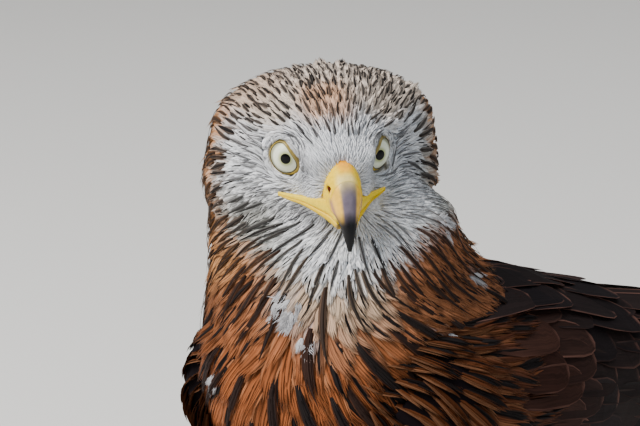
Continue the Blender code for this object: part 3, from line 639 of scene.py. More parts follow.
def nearness(points, line, width):
    """From 1 on a line of points to 0 well away from it."""
    line = np.asarray(line, float)
    best = np.full(len(points), 1e9)
    for a, b in zip(line, line[1:]):
        share = np.clip((points - a) @ (b - a) / ((b - a) @ (b - a)), 0, 1)
        best = np.minimum(best, np.linalg.norm(points - a - share[:, None] * (b - a), axis=-1))
    return np.exp(-((best / width) ** 2))


def raised_brows(points):
    q = to_head(points)
    for side in (1, -1):
        brow = nearness(q, np.array(BROW) * (1, side, 1), BROW_WIDTH)
        q = q + brow[:, None] * BROW_RISE * unit([0.5, 0.5 * side, 0.35])
    return in_head(q)


def largest_surface(points, faces):
    """Only the largest connected part of a mesh of quads."""
    label = np.arange(len(points))
    while True:
        low = label[faces].min(1)
        fresh = label.copy()
        for k in range(4):
            np.minimum.at(fresh, faces[:, k], low)
        fresh = fresh[fresh]
        if (fresh == label).all():
            break
        label = fresh
    best = np.bincount(label).argmax()
    faces = faces[label[faces[:, 0]] == best]
    used, back = np.unique(faces, return_inverse=True)
    return Surface(points[used], back.reshape(-1, 4))


def bill_distance(points):
    return np.linalg.norm(to_head(points) - BILL_ROOT, axis=-1)


def coat_depth(points):
    """Depth of the plumage, from its outer surface down to the skin."""
    points = np.asarray(points, float)
    r = bill_distance(points)
    head = np.interp(r, [0, 12, 25, 45, 65, 85], [0.8, 0.9, 1.3, 2.3, 3.6, 5.0])
    body = 6.0 - 2.0 * ramp(points[..., 1], 60, 120)
    leg = np.interp(points[..., 2], [50, 60, 95, 115], [1.5, 2.2, 4.0, 6.0])
    body = np.where((points[..., 2] < 115) & (np.abs(points[..., 0]) > 8), np.minimum(body, leg), body)
    return np.minimum(head, body)


def growth(points):
    """From 0 beside the bill to 1 on the breast and back: how large the feathers are."""
    r, z = bill_distance(points), points[..., 2]
    by_head = np.interp(r, [14, 25, 45, 62, 85, 115], [0, 0.06, 0.22, 0.38, 0.6, 1.0])
    by_height = np.interp(z, [150, 165, 180, 200, 214, 226], [1.0, 0.95, 0.8, 0.5, 0.25, 0.0])
    return np.maximum(by_head, by_height)


def on_leg(points):
    return ramp(-points[..., 2], -112, -92) * ramp(np.abs(points[..., 0]), 8, 16)


GROWTH_STEPS = [0, 0.06, 0.22, 0.38, 0.6, 1.0]


def sized(points, steps, leg):
    """A size by the growth of the plumage, and smaller down the legs."""
    size = np.interp(growth(points), GROWTH_STEPS, steps)
    down = np.interp(points[..., 2], [52, 70, 95, 120], leg)
    return np.where(on_leg(points) > 0.02, np.minimum(size, down), size)


def spacing(points):
    return sized(points, [0.76, 1.05, 1.9, 2.8, 4.2, 6.6], [2.4, 3.4, 4.6, 6.6])


def feather_length(points):
    return sized(points, [3.6, 5.6, 9.5, 14.0, 23.0, 42.0], [9, 15, 24, 42])


def feather_width(points):
    """Half width of a feather."""
    return sized(points, [0.36, 0.58, 1.25, 2.0, 3.3, 6.6], [1.6, 2.6, 4.0, 6.6])


def tail_point(y, x, height):
    """A point over the tail's plane: y along it, x across and height above it."""
    slope = math.radians(TAIL_SLOPE)
    y, x, height = np.broadcast_arrays(np.asarray(y, float), x, height)
    back = TAIL_BASE[0] + y * math.cos(slope) + height * math.sin(slope)
    level = TAIL_BASE[1] - y * math.sin(slope) + height * math.cos(slope)
    return np.stack([x, back, level], axis=-1)


def lie(points, normals):
    """Which way the feathers lie at places on the body, along its surface."""
    q = to_head(points)
    r = np.linalg.norm(q - BILL_ROOT, axis=-1)
    away = unit(q - BILL_ROOT)
    away = away + np.array([0, 0, -1.0]) * (0.35 * ramp(-q[:, 2], -6, 14))[:, None]
    back_down = ramp(-q[:, 0], 30, 62)
    away = unit(mixed(away, np.array([-0.25, 0, -1.0]), back_down))
    head = away @ HEAD_AXES
    y, z = points[:, 1] - BEND_LINE[0], points[:, 2] - BEND_LINE[1]
    turn = np.clip(np.arctan2(-z, -y), math.radians(-20), math.radians(100))
    body = np.stack([np.zeros_like(turn), np.sin(turn), -np.cos(turn)], axis=-1)
    low = ramp(-points[:, 2], -200, -150)
    fan = mixed(np.clip((q[:, 1] + 8) / 32, -1, 1)[:, None], np.clip(points[:, :1] / 45, -1, 1), low)
    aside = mixed(HEAD_AXES[1], np.array([1.0, 0, 0]), low)
    body = body + aside * fan * np.interp(points[:, 2], [110, 135, 175, 240], [0, 0.3, 0.75, 0.6])[:, None]
    above = ramp(points[:, 2] - (BEND_LINE[1] - 1.15 * (points[:, 1] - 20)), -10, 30)
    behind = ramp(points[:, 1], 30, 62) * above
    body = mixed(body, np.array([0, 0.96, -0.26]), behind)
    leg = ramp(-points[:, 2], -112, -92) * ramp(np.abs(points[:, 0]), 12, 20)
    body = mixed(body, np.array([0, 0.25, -1.0]), leg)
    share = np.maximum(ramp(r, 62, 95), ramp(-points[:, 2], -216, -192))
    way = round_the_eyes(unit(mixed(head, unit(body), share)), points)
    return unit(way - normals * (way * normals).sum(-1, keepdims=True))


def eye_place(points, side):
    """How points lie round an eye: angle from the front, distance across its opening, and from its middle."""
    middle, look = eye_frame(side)
    apart = to_head(points) - middle - look * (EYE_SINK - 0.4)
    forward = np.cross([0, 0, side], look) * -1
    x, z = apart @ forward, apart[:, 2]
    return np.arctan2(z, x), np.hypot(x, z), np.linalg.norm(apart, axis=-1)


def lid_reach(around):
    """Half width of the opening between the lids, by the angle round it from the front."""
    facing = np.maximum(np.cos(around - math.radians(BROW_AROUND)), 1e-3)
    chord = BROW_CHORD / facing
    return (chord**-4 + LID_OPEN**-4) ** (-1 / 4)


def clear_of_mouth(points, surface):
    """Away from the bare edge of the mouth."""
    left = mouth_line(surface, 1)[:, [0, 1, 3]]
    off_left = nearness(to_head(points), left, MOUTH_CLEAR) < math.exp(-1)
    q = to_head(points)
    f, out, top, _, bottom, _ = np.array(GAPE)[::-1].T
    place = np.clip(q[:, 0], f[0] - 1, f[-1])
    beside = np.abs(np.abs(q[:, 1]) - np.interp(place, f, out)) < 5
    high = np.interp(place, f, top) + 0.25
    low = np.interp(place, f, bottom) - 0.25
    return off_left & ~(beside & (q[:, 0] > f[0] - 0.8) & (q[:, 2] < high) & (q[:, 2] > low))


def round_the_eyes(way, points):
    """Turns the lie aside so that it passes round each eye."""
    for side in (1, -1):
        middle, look = eye_frame(side)
        centre = in_head(middle + look * (EYE_SINK - 0.4))
        gaze = look @ HEAD_AXES
        apart = points - centre
        apart = apart - np.outer(apart @ gaze, gaze)
        distance = np.linalg.norm(apart, axis=-1)
        spoke = apart / np.maximum(distance, 1e-6)[:, None]
        pull = np.minimum(1.0, (7.6 / np.maximum(distance, 1.0)) ** 2)
        near = np.linalg.norm(points - centre, axis=-1) < 36
        way = way - spoke * (2 * (way * spoke).sum(-1, keepdims=True)) * (pull * near)[:, None]
    return unit(way)


def eye_gap(points):
    """How far points lie outside the opening of the nearer eye."""
    gap = np.full(len(points), 99.0)
    for side in (1, -1):
        around, across, away = eye_place(points, side)
        gap = np.minimum(gap, np.where(away > 20, 99.0, across - lid_reach(around)))
    return gap


def clear_of_eyes(points):
    return eye_gap(points) > 1.0


def shell_place(points):
    """Place along the wing's shell and angle on it, for points near it."""
    s = points[:, 1] - WRIST_Y
    level, width, tall = smooth(SHELL, np.clip(s, SHELL[0][0], SHELL[-1][0])).T
    angle = np.degrees(np.arctan2((points[:, 2] - level) / tall, np.abs(points[:, 0]) / width))
    return s, angle


def under_wing(points):
    """Where the folded wings hide the body."""
    s, angle = shell_place(points)
    low, high = smooth([row[:3] for row in ARM], np.clip(s, ARM[0][0], ARM[-1][0])).T
    inside = (angle > low + 10) & (angle < high - 10) & (s > 6) & (s < 215)
    return inside & (points[:, 2] > 100)


def grid_roots(surface, spacing, keep, rng):
    """Roots spread evenly over a surface, with a spacing that may change from place to place."""
    quads = surface.points[surface.faces]
    middle = quads.mean(1)
    area = np.linalg.norm(np.cross(quads[:, 2] - quads[:, 0], quads[:, 3] - quads[:, 1]), axis=-1) / 2
    wanted = spacing(middle)
    weight = area / wanted**2 * keep(middle)
    count = int(weight.sum() * 5)
    pick = rng.choice(len(weight), count, p=weight / weight.sum())
    a, b = rng.random((2, count, 1))
    p = quads[pick]
    spots = (p[:, 0] * (1 - a) + p[:, 1] * a) * (1 - b) + (p[:, 3] * (1 - a) + p[:, 2] * a) * b
    gaps = spacing(spots)
    level = np.round(np.log2(gaps) * 2).astype(int)
    cells = [{} for _ in range(level.max() - level.min() + 1)]
    base = level.min()
    chosen = []
    sizes = 2.0 ** ((np.arange(len(cells)) + base) / 2 + 0.25)
    steps = [(i, j, k) for i in (-1, 0, 1) for j in (-1, 0, 1) for k in (-1, 0, 1)]
    for n, (spot, gap, kind) in enumerate(zip(spots.tolist(), gaps.tolist(), (level - base).tolist())):
        size, table = sizes[kind], cells[kind]
        key = (int(spot[0] // size), int(spot[1] // size), int(spot[2] // size))
        limit = gap * gap * 0.72
        free = True
        for i, j, k in steps:
            for other in table.get((key[0] + i, key[1] + j, key[2] + k), ()):
                if (other[0] - spot[0]) ** 2 + (other[1] - spot[1]) ** 2 + (other[2] - spot[2]) ** 2 < limit:
                    free = False
                    break
            if not free:
                break
        if free:
            table.setdefault(key, []).append(spot)
            chosen.append(n)
    return spots[chosen]


def grow(surface, roots, lengths, shares, jitter):
    """Paths of feathers that follow the lie over a surface, with the normals along them."""
    points, normals = surface.project(roots)
    path, ups = [points], [normals]
    for before, share in zip(shares, shares[1:]):
        way = lie(points, normals)
        way = way * np.cos(jitter)[:, None] + np.cross(normals, way) * np.sin(jitter)[:, None]
        points, normals = surface.project(points + way * (lengths * (share - before))[:, None])
        path.append(points)
        ups.append(normals)
    return np.stack(path, 1), np.stack(ups, 1)


def eased_share(x):
    """From 0 to 1, quick at first."""
    return np.sin(np.clip(x, 0, 1) * math.pi / 2)


def vane_mesh(centres, ups, widths, ridges, columns=3, sides=None):
    """Closed thin feathers along paths: points, triangles, which faces are smooth, and both places on each."""
    count, rows = centres.shape[:2]
    along = np.gradient(centres, axis=1)
    if sides is None:
        sides = unit(np.cross(along, ups))
    v = np.linspace(-1, 1, columns)
    across = widths[:, :, None, None] * v[:, None] * sides[:, :, None, :]
    rise = ridges[:, :, None, None] * (1 - v**2)[:, None] * ups[:, :, None, :]
    points = (centres[:, :, None, :] + across + rise).reshape(-1, 3)
    top, under = [], []
    for k in range(rows - 1):
        for c in range(columns - 1):
            a = k * columns + c
            d = a + columns
            top += [(a, a + 1, d + 1), (a, d + 1, d)]
        left, right = k * columns, k * columns + columns - 1
        under += [(left, left + columns, right + columns), (left, right + columns, right)]
    last = (rows - 1) * columns
    for c in range(1, columns - 1):
        under += [(0, c + 1, c), (last, last + c, last + c + 1)]
    pattern = np.array(top + under)
    size = rows * columns
    faces = (pattern[None] + np.arange(count)[:, None, None] * size).reshape(-1, 3)
    flags = np.tile(np.arange(len(pattern)) < len(top), count)
    return points, faces, flags, size, v


def lens(shares, fullest=0.5, root=0.35, tip=0.04):
    """Half width of a pointed feather along its length."""
    shares = np.asarray(shares)
    rising = root + (1 - root) * np.sin(np.clip(shares / fullest, 0, 1) * math.pi / 2)
    falling = np.cos(np.clip((shares - fullest) / (1 - fullest), 0, 1) * math.pi / 2) ** 0.8
    return np.maximum(rising * falling, tip)


def blunt(shares, root=0.45, tip=0.06):
    """Half width of a round-ended feather along its length."""
    shares = np.asarray(shares)
    rising = root + (1 - root) * np.sin(np.clip(shares / 0.4, 0, 1) * math.pi / 2)
    falling = np.sqrt(np.clip(1 - np.clip((shares - 0.62) / 0.385, 0, 1) ** 2.2, 0, 1))
    return np.maximum(rising * falling, tip)


def feather_piece(name, slot, material, batches, nodes=()):
    """One piece of plumage from batches of vanes, each with its marks."""
    points, faces, flags = [], [], []
    along, across, lot, tint, rim, dark, marks, uv = ([] for _ in range(8))
    first = 0
    for b in batches:
        p, f, s, size, v = b["mesh"]
        count = len(p) // size
        rows = size // len(v)
        points.append(p)
        faces.append(f + first)
        flags.append(s)
        first += len(p)
        start, end = b.get("extent", (np.zeros(count), np.ones(count)))
        share = start[:, None] + (end - start)[:, None] * np.asarray(b["shares"])[None]
        side = b.get("offset", np.zeros(count))[:, None] + b.get("scale", np.ones(count))[:, None] * v[None]
        along.append(np.broadcast_to(share[:, :, None], (count, rows, len(v))).ravel())
        across.append(np.broadcast_to(side[:, None, :], (count, rows, len(v))).ravel())
        lot.append(np.repeat(b["lot"], size))
        for bag, word in ((tint, "tint"), (rim, "rim"), (dark, "dark"), (marks, "marks")):
            bag.append(np.repeat(np.broadcast_to(b[word], (count, 3)), size, axis=0))
        patch = b.get("patch", (0.003, 0.003))
        corner = b["uv"]
        u = corner[:, None, None, 0] + patch[0] * (0.5 + 0.5 * np.clip(side, -1, 1))[:, None, :]
        w = corner[:, None, None, 1] + patch[1] * share[:, :, None]
        u, w = np.broadcast_arrays(u, w)
        uv.append(np.stack([u.reshape(-1), w.reshape(-1)], axis=-1))
    numbers = {"along": np.concatenate(along), "across": np.concatenate(across), "lot": np.concatenate(lot)}
    colours = {"tint": np.vstack(tint), "rim": np.vstack(rim), "dark": np.vstack(dark), "marks": np.vstack(marks)}
    obj = mesh_object(
        name,
        np.vstack(points),
        np.vstack(faces),
        material,
        np.concatenate(flags),
        np.vstack(uv),
        numbers,
        colours,
    )
    return finish_piece(obj, slot, *nodes)


def tract(points):
    """Colours and marks of the body's plumage: main, rim and streak colours, and streak and rim sizes."""
    q = to_head(points)
    f, l, u = q.T
    r = bill_distance(points)
    count = len(points)
    y, z = points[:, 1], points[:, 2]
    low = ramp(-z, -130, -95)
    above = ramp(z - (BEND_LINE[1] - 1.15 * (y - 20)), -10, 25) * ramp(y, 38, 60)
    neck = ramp(z, 168, 196)
    main = mixed(np.tile(RUFOUS, (count, 1)), BELLY_RUFOUS, low)
    main = mixed(main, RUFOUS_PALE, neck * 0.45)
    rim = mixed(main, RUFOUS_PALE, 0.55)
    main = mixed(main, BACK_BROWN, above)
    rim = mixed(rim, WING_EDGE, above)
    dark = np.tile(STREAK_BLACK, (count, 1))
    streak = 0.26 - 0.08 * low
    start = 0.28 - 0.1 * neck
    edge = np.full(count, 0.7)
    pale_foot = np.interp(np.abs(l + 6), [0, 12, 30, 45], [198, 202, 212, 222])
    throat = ramp(z - pale_foot, -4, 10) * ramp(f, -34, -14)
    cream = ramp(z - pale_foot, -26, -2) * ramp(f, -20, 4) * ramp(-np.abs(l + 6), -30, -14)
    # Painted shade: the breast and body below the neck darkened towards the sides, away from the middle.
    side_shade = ramp(np.abs(points[:, 0] - 6), 26, 60) * ramp(-z, -236, -206) * (1 - above)
    main = main * (1 - 0.5 * side_shade)[:, None]
    rim = rim * (1 - 0.45 * side_shade)[:, None]
    main = mixed(main, THROAT_CREAM, cream * 0.85)
    rim = mixed(rim, np.array(THROAT_CREAM) * 1.1, cream * 0.8)
    nape = ramp(z, 192, 206) * ramp(-f, -14, 10)
    main = mixed(main, NAPE_BUFF, nape * 0.85)
    rim = mixed(rim, np.array(NAPE_BUFF) * 1.3, nape * 0.8)
    side = ramp(u, -34, -12) * ramp(-np.abs(l), -48, -36) * ramp(f, -36, -16)
    pale = np.maximum(throat, side)
    main = mixed(main, THROAT_WHITE, throat)
    main = mixed(main, FACE_GREY, np.maximum(side, ramp(-r, -46, -30)))
    rim = mixed(rim, main * 1.06, pale)
    streak = np.where(pale > 0.5, 0.24, streak)
    start = mixed(start[:, None], 0.05 * np.ones((count, 1)), pale)[:, 0]
    face = ramp(-r, -50, -34) * ramp(u, -26, -17)
    dark = mixed(dark, STREAK_GREY, face)
    crown = ramp(u, 8, 15) * (1 - ramp(r, 84, 104))
    main = mixed(main, CROWN_CREAM, crown * ramp(r, 30, 42))
    buff = ramp(-np.abs(l + 2), -15, -5) * ramp(-f, -10, 0) * (1 - ramp(-f, 8, 24)) * ramp(u, 10, 18)
    buff = np.maximum(buff, ramp(-f, 4, 28) * ramp(-l, 4, 30) * 0.45 * ramp(u, -2, 6))
    main = mixed(main, CROWN_BUFF, np.clip(buff, 0, 1) * 0.8)
    rim = mixed(rim, main * 1.1, crown)
    dark = mixed(dark, STREAK_BLACK, crown * ramp(r, 24, 34))
    streak = np.where(crown > 0.4, 0.36, streak) * ramp(r, 17, 31)
    start = mixed(start[:, None], 0.3 * np.ones((count, 1)), crown)[:, 0]
    # Painted shade: darker grey on the lores before each eye, towards its inner corner.
    lore_shade = np.exp(-(((f - 13) / 5) ** 2 + ((np.abs(l) - 14) / 5) ** 2 + ((u + 3) / 6) ** 2))
    main = mixed(main, LORE_SHADE_GREY, np.clip(lore_shade * 1.2, 0, 1))
    return main, rim, dark, np.stack([streak, start, edge], axis=-1)


def unwrap_skin(obj):
    """Lays out the skin's own shape, and returns a place on the layout for any point."""
    bpy.context.view_layer.objects.active = obj
    obj.select_set(True)
    bpy.ops.object.mode_set(mode="EDIT")
    bpy.ops.mesh.select_all(action="SELECT")
    bpy.ops.uv.smart_project(angle_limit=math.radians(70), island_margin=0.002)
    bpy.ops.object.mode_set(mode="OBJECT")
    obj.select_set(False)
    layer = obj.data.uv_layers["OFBake"]
    flat = np.empty(len(layer.data) * 2)
    layer.data.foreach_get("uv", flat)
    return flat.reshape(-1, 2)


def build_skin(surface):
    points = surface.points - surface.normals * coat_depth(surface.points)[:, None]
    faces = surface.faces
    triangles = np.vstack([faces[:, [0, 1, 2]], faces[:, [0, 2, 3]]])
    main, _, dark, _ = tract(surface.points)
    tint = mixed(main, dark, 0.12)
    uv = np.zeros((len(points), 2))
    skin = mesh_object("skin", points, triangles, skin_material(), True, uv, None, {"tint": tint})
    flat = unwrap_skin(skin)
    finish_piece(skin, "head_feather", "head", "neck", "torso", "thigh_left", "thigh_right")
    corner = flat.reshape(-1, 3, 2)[:, 0]
    middles = points[triangles].mean(1)
    return BVHTree.FromPolygons(points.tolist(), triangles.tolist()), corner, middles


def layout_places(layout, points):
    tree, corner, _ = layout
    return np.array([corner[tree.find_nearest(p)[2]] for p in points.tolist()])


def body_plumage(surface, layout):
    """All feathers of head, neck and body, in pieces from the bill back."""
    rng = np.random.default_rng(SEED)

    def keep(points):
        free = clear_of_eyes(points) & clear_of_mouth(points, surface) & ~under_wing(points)
        return free & (bill_distance(points) > 5) & (points[:, 2] > 54)

    roots = grid_roots(surface, spacing, keep, rng)
    roots = roots[keep(roots)]
    size = growth(roots)
    order = np.argsort(size)
    roots, size = roots[order], size[order]
    r = bill_distance(roots)
    lengths = feather_length(roots) * rng.uniform(0.82, 1.15, len(roots))
    jitter = rng.normal(0, 1, len(roots)) * np.interp(size, [0, 0.3, 1], [0.07, 0.13, 0.17])
    shares = np.array([0, 0.2, 0.4, 0.6, 0.8, 1.0])
    path, ups = grow(surface, roots, lengths, shares, jitter)
    depth = coat_depth(path.reshape(-1, 3)).reshape(path.shape[:2])
    lift = 0.34 + 0.58 * shares + (rng.normal(0, 1, len(roots)) * np.interp(size, [0.05, 0.3], [0.025, 0.04]))[:, None] * (0.4 + shares)
    ruffle = (rng.random(len(roots)) < 0.12) * rng.uniform(0.2, 0.75, len(roots)) * ramp(size, 0.25, 0.45)
    lift = lift + ruffle[:, None] * shares**3
    path = path - ups * (depth * (1 - lift))[..., None]
    look = dict(zip(("tint", "rim", "dark", "marks"), tract(path[:, 2])))
    light = rng.normal(1, 0.1, len(roots))[:, None]
    look["tint"], look["rim"] = look["tint"] * light, look["rim"] * light
    look["marks"][:, 0] *= rng.uniform(0.7, 1.3, len(roots)) * (rng.random(len(roots)) > 0.5)
    white = down_shares(surface, path[:, 3])
    look["tint"] = mixed(look["tint"], DOWN_WHITE, white * 0.45)
    look["rim"] = mixed(look["rim"], DOWN_WHITE, white * 0.45)
    look["marks"][:, 0] *= 1 - ramp(white, 0.25, 0.7)
    look["uv"] = layout_places(layout, roots)
    look["lot"] = rng.random(len(roots))
    half = feather_width(roots) * rng.uniform(0.88, 1.12, len(roots))
    fine = plumage_material("plumage_fine", 0.00015, 0.1)
    broad = plumage_material("plumage_broad", 0.0003, 0.1)
    streak_plumage(surface, layout, fine)
    down_tufts(surface, layout, fine)
    breast = (roots[:, 1] < 45) & (roots[:, 2] < 235)
    tracts = [
        ("plumage_face", "head_feather", fine, size < 0.1, 1, 4),
        ("plumage_cheek", "head_feather", fine, (size >= 0.1) & (size < 0.24), 5, 5),
        ("plumage_head", "head_feather", fine, (size >= 0.24) & (size < 0.42), 6, 5),
        ("plumage_neck", "neck_feather", broad, (size >= 0.42) & (size < 0.8), 9, 5),
        ("plumage_breast", "rufous_feather", broad, (size >= 0.8) & breast, 19, 6),
        ("plumage_body", "rufous_feather", broad, (size >= 0.8) & ~breast, 6, 5),
    ]
    for name, slot, material, chosen, strands, rows in tracts:
        index = np.flatnonzero(chosen)
        index = index[np.argsort(roots[index, 0])]
        each = strands * vane_triangles(rows)
        parts = math.ceil(len(index) * each / PIECE_LIMIT)
        for k, part in enumerate(np.array_split(index, parts)):
            here = {word: value[part] for word, value in look.items()}
            batches = strands_of(path[part], ups[part], half[part], strands, rows, here, rng)
            feather_piece(f"{name}_{k + 1}", slot, material, batches)


PIECE_LIMIT = 190000


def vane_triangles(rows, columns=3):
    return (rows - 1) * (2 * (columns - 1) + 2) + 2 * (columns - 2)


def streak_sizes(points):
    """Length and half width of the dark streaks, their spacing across and along, and how dark they are."""
    q = to_head(points)
    f, l, u = q.T
    r = bill_distance(points)
    z, y = points[:, 2], points[:, 1]
    breast = np.array([42, 2.5, 9.5, 25, 1.0])
    belly = np.array([26, 0.8, 12.0, 24, 1.0])
    throat = np.array([25, 0.62, 3.7, 12, 1.0])
    nape = np.array([15, 0.7, 3.8, 9.0, 1.0])
    cheek = np.array([12.0, 0.22, 2.0, 7.5, 0.85])
    crown = np.array([9.0, 0.4, 2.8, 6.4, 1.0])
    rows = mixed(np.tile(breast, (len(points), 1)), belly, ramp(-z, -135, -110))
    rows = mixed(rows, throat, ramp(z, 186, 208))
    rows = mixed(rows, nape, ramp(z, 200, 212) * ramp(-f, -5, 15))
    rows = mixed(rows, cheek, ramp(-r, -54, -42) * ramp(u, -27, -17))
    return mixed(rows, crown, ramp(u, 6, 12) * (1 - ramp(r, 75, 95)))


def streak_roots(surface, rng):
    """Roots of the dark streaks, apart from one another across the lie and along it."""
    quads = surface.points[surface.faces]
    middle = quads.mean(1)
    normals = surface.normals[surface.faces[:, 0]]
    r, z, y = bill_distance(middle), middle[:, 2], middle[:, 1]
    free = clear_of_eyes(middle) & clear_of_mouth(middle, surface) & ~under_wing(middle)
    free &= (r > 22 - 12 * ramp(-to_head(middle)[:, 2], 14, 20)) & (z > 95) & ((y < 60) | (r < 95))
    quads, middle, normals = quads[free], middle[free], normals[free]
    area = np.linalg.norm(np.cross(quads[:, 2] - quads[:, 0], quads[:, 3] - quads[:, 1]), axis=-1) / 2
    sizes = streak_sizes(middle)
    weight = area / (sizes[:, 2] * sizes[:, 3])
    pick = rng.choice(len(weight), int(weight.sum() * 9), p=weight / weight.sum())
    spots = middle[pick] + rng.normal(0, 0.5, (len(pick), 3))
    ways = lie(middle[pick], normals[pick])
    kept = np.empty((0, 3))
    chosen = []
    for n, (spot, way) in enumerate(zip(spots, ways)):
        _, _, across, along, _ = sizes[pick[n]]
        apart = kept - spot
        ahead = apart @ way
        aside = np.sqrt(np.maximum((apart * apart).sum(-1) - ahead**2, 0))
        if not ((np.abs(ahead) < along) & (aside < across * 0.8)).any():
            kept = np.vstack([kept, spot])
            chosen.append(n)
    return spots[chosen]


def streak_plumage(surface, layout, material):
    """The dark shaft streaks that lie on the paler feathers, from the crown to the breast."""
    rng = np.random.default_rng(SEED + 3)
    roots = streak_roots(surface, rng)
    length, half, _, _, darkness = streak_sizes(roots).T
    length = length * rng.uniform(0.75, 1.25, len(roots))
    half = half * rng.uniform(0.75, 1.25, len(roots)) * np.interp(bill_distance(roots), [10, 34], [0.42, 1.0])
    shares = np.linspace(0, 1, 7)
    jitter = rng.normal(0, 0.1, len(roots))
    path, ups = grow(surface, roots, length, shares, jitter)
    depth = coat_depth(path.reshape(-1, 3)).reshape(path.shape[:2])
    lift = 0.72 + 0.27 * eased_share(shares / 0.3) + rng.normal(0, 0.025, len(roots))[:, None]
    path = path - ups * (depth * (1 - lift))[..., None]
    main, _, _, _ = tract(path[:, 3])
    ink = mixed(main, STREAK_BLACK, darkness * rng.uniform(0.93, 1.0, len(roots)))
    white = down_shares(surface, path[:, 3])
    shown = (white < 0.35) & (eye_gap(path.reshape(-1, 3)).reshape(path.shape[:2]).min(1) > 1.6)
    look = {
        "tint": ink,
        "rim": mixed(ink, main, 0.18),
        "dark": ink,
        "marks": np.tile([0.0, 0.0, 0.75], (len(roots), 1)),
        "uv": layout_places(layout, roots),
        "lot": rng.random(len(roots)),
    }
    for name, slot, chosen, strands in (
        ("streaks_head", "head_feather", shown & (half < 1.25), 3),
        ("streaks_breast", "rufous_feather", shown & (half >= 1.25), 10),
    ):
        here = {word: value[chosen] for word, value in look.items()}
        batches = strands_of(path[chosen], ups[chosen], half[chosen], strands, 7, here, rng, 0.42, 0.2)
        feather_piece(name, slot, material, batches)


def down_shares(surface, points):
    """How white each feather is, by the spots where the down shows."""
    share = np.zeros(len(points))
    for across, down, radius in DOWN_SPOTS:
        spot = at_pixel(surface, across, down)
        share = np.maximum(share, np.exp(-((np.linalg.norm(points - spot, axis=-1) / radius) ** 2)))
    return share


def down_tufts(surface, layout, material):
    """Loose white down lying on the plumage where it shows."""
    rng = np.random.default_rng(SEED + 7)
    roots = []
    for across, down, radius in DOWN_SPOTS:
        spot = at_pixel(surface, across, down)
        count = int(DOWN_COUNT * radius**1.5)
        away = rng.normal(0, 1, (count, 3)) * radius * 0.5
        roots.append(spot + away)
    roots, _ = surface.project(np.vstack(roots))
    count = len(roots)
    shares = np.linspace(0, 1, 6)
    path, ups = grow(surface, roots, rng.uniform(5, 9, count), shares, rng.normal(0, 0.45, count))
    depth = coat_depth(path.reshape(-1, 3)).reshape(path.shape[:2])
    lift = 0.72 + 0.3 * eased_share(shares) + rng.normal(0, 0.04, count)[:, None]
    path = path - ups * (depth * (1 - lift))[..., None]
    light = rng.uniform(0.55, 1.15, count)[:, None]
    look = {
        "tint": np.array(DOWN_WHITE) * light,
        "rim": np.array(DOWN_WHITE) * light * 0.8,
        "dark": np.tile(DOWN_WHITE, (count, 1)),
        "marks": np.tile([0.0, 0.0, 0.8], (count, 1)),
        "uv": layout_places(layout, roots),
        "lot": rng.random(count),
    }
    batches = strands_of(path, ups, rng.uniform(1.2, 2.2, count), 9, 6, look, rng, 0.5, 0.5, 0.4)
    feather_piece("down_tufts", "neck_feather", material, batches)


def at_pixel(surface, across, down):
    """The place on a surface that shows at a pixel of the picture."""
    wide = 36 / LENS / 640
    way = unit(np.array([-1, (across - 320) * wide, (213 - down) * wide]) @ CAMERA_AXES)
    return np.array(surface.tree.ray_cast(Vector(CAMERA_AT), Vector(way))[0])


def strands_of(path, ups, half, strands, rows, look, rng, drop=0.24, spill=0.06, slim=1.0):
    """Each feather as strands side by side that end unevenly, in one batch for each place across it."""
    shares = np.linspace(0, 1, rows)
    sides = unit(np.cross(np.gradient(path, axis=1), ups))
    offsets = np.linspace(-0.86, 0.86, strands) if strands > 1 else [0.0]
    scale = 0.9 if strands == 1 else 2.3 * 0.86 / (strands - 1)
    count = len(path)
    batches = []
    for offset in offsets:
        end = (1 - drop * abs(offset) ** 1.5) * rng.uniform(1 - spill, 1 + spill / 2, count)
        spots = shares * np.minimum(end, 1)[:, None]
        up = unit(along_path(ups, spots))
        fan = (0.32 + 0.68 * eased_share(spots / 0.55)) * (1 - 0.15 * spots**2) * half[:, None]
        stray = rng.normal(0, 0.035, count)[:, None] * spots**2 * half[:, None] * 3
        centre = along_path(path, spots) + along_path(sides, spots) * (fan * offset + stray)[..., None]
        lower = rng.normal(0, 0.022, count)[:, None] - 0.1 * offset**2
        centre = centre + up * (lower * half[:, None])[..., None]
        width = half[:, None] * scale * slim * lens(shares, 0.5, 0.55, 0.05)
        batches.append(
            {
                **look,
                "mesh": vane_mesh(centre, up, width, width * 0.08),
                "shares": shares,
                "extent": (np.zeros(count), np.minimum(end, 1)),
                "offset": np.full(count, offset),
                "scale": np.full(count, scale),
                "lot": look["lot"] + offset * 0.13,
            }
        )
    return batches


def along_path(values, spots):
    """Values at shares of each path's length, from rows evenly spaced along it."""
    rows = values.shape[1] - 1
    place = np.clip(spots * rows, 0, rows - 1e-6)
    low = place.astype(int)
    part = (place - low)[..., None]
    n = np.arange(len(values))[:, None]
    return values[n, low] * (1 - part) + values[n, low + 1] * part


def shell_point(s, angle, height=0.0, side=1):
    """A point on the folded wing's shell: s along it, angle up from the level, height outwards."""
    s, angle, height = (np.asarray(v, float) for v in np.broadcast_arrays(s, angle, height))
    level, width, tall = smooth(SHELL, s.ravel()).T
    level, width, tall = (v.reshape(s.shape) for v in (level, width, tall))
    a = np.radians(angle)
    out = np.stack([np.cos(a) / width, np.zeros_like(a), np.sin(a) / tall], axis=-1)
    out /= np.linalg.norm(out, axis=-1, keepdims=True)
    at = np.stack([np.cos(a) * width, WRIST_Y + s, level + np.sin(a) * tall], axis=-1)
    turn = np.array([side, 1, 1])
    return (at + out * height[..., None]) * turn, out * turn


def arc_per_degree(s, angle):
    return np.linalg.norm(shell_point(s, angle + 0.5)[0] - shell_point(s, angle - 0.5)[0], axis=-1)


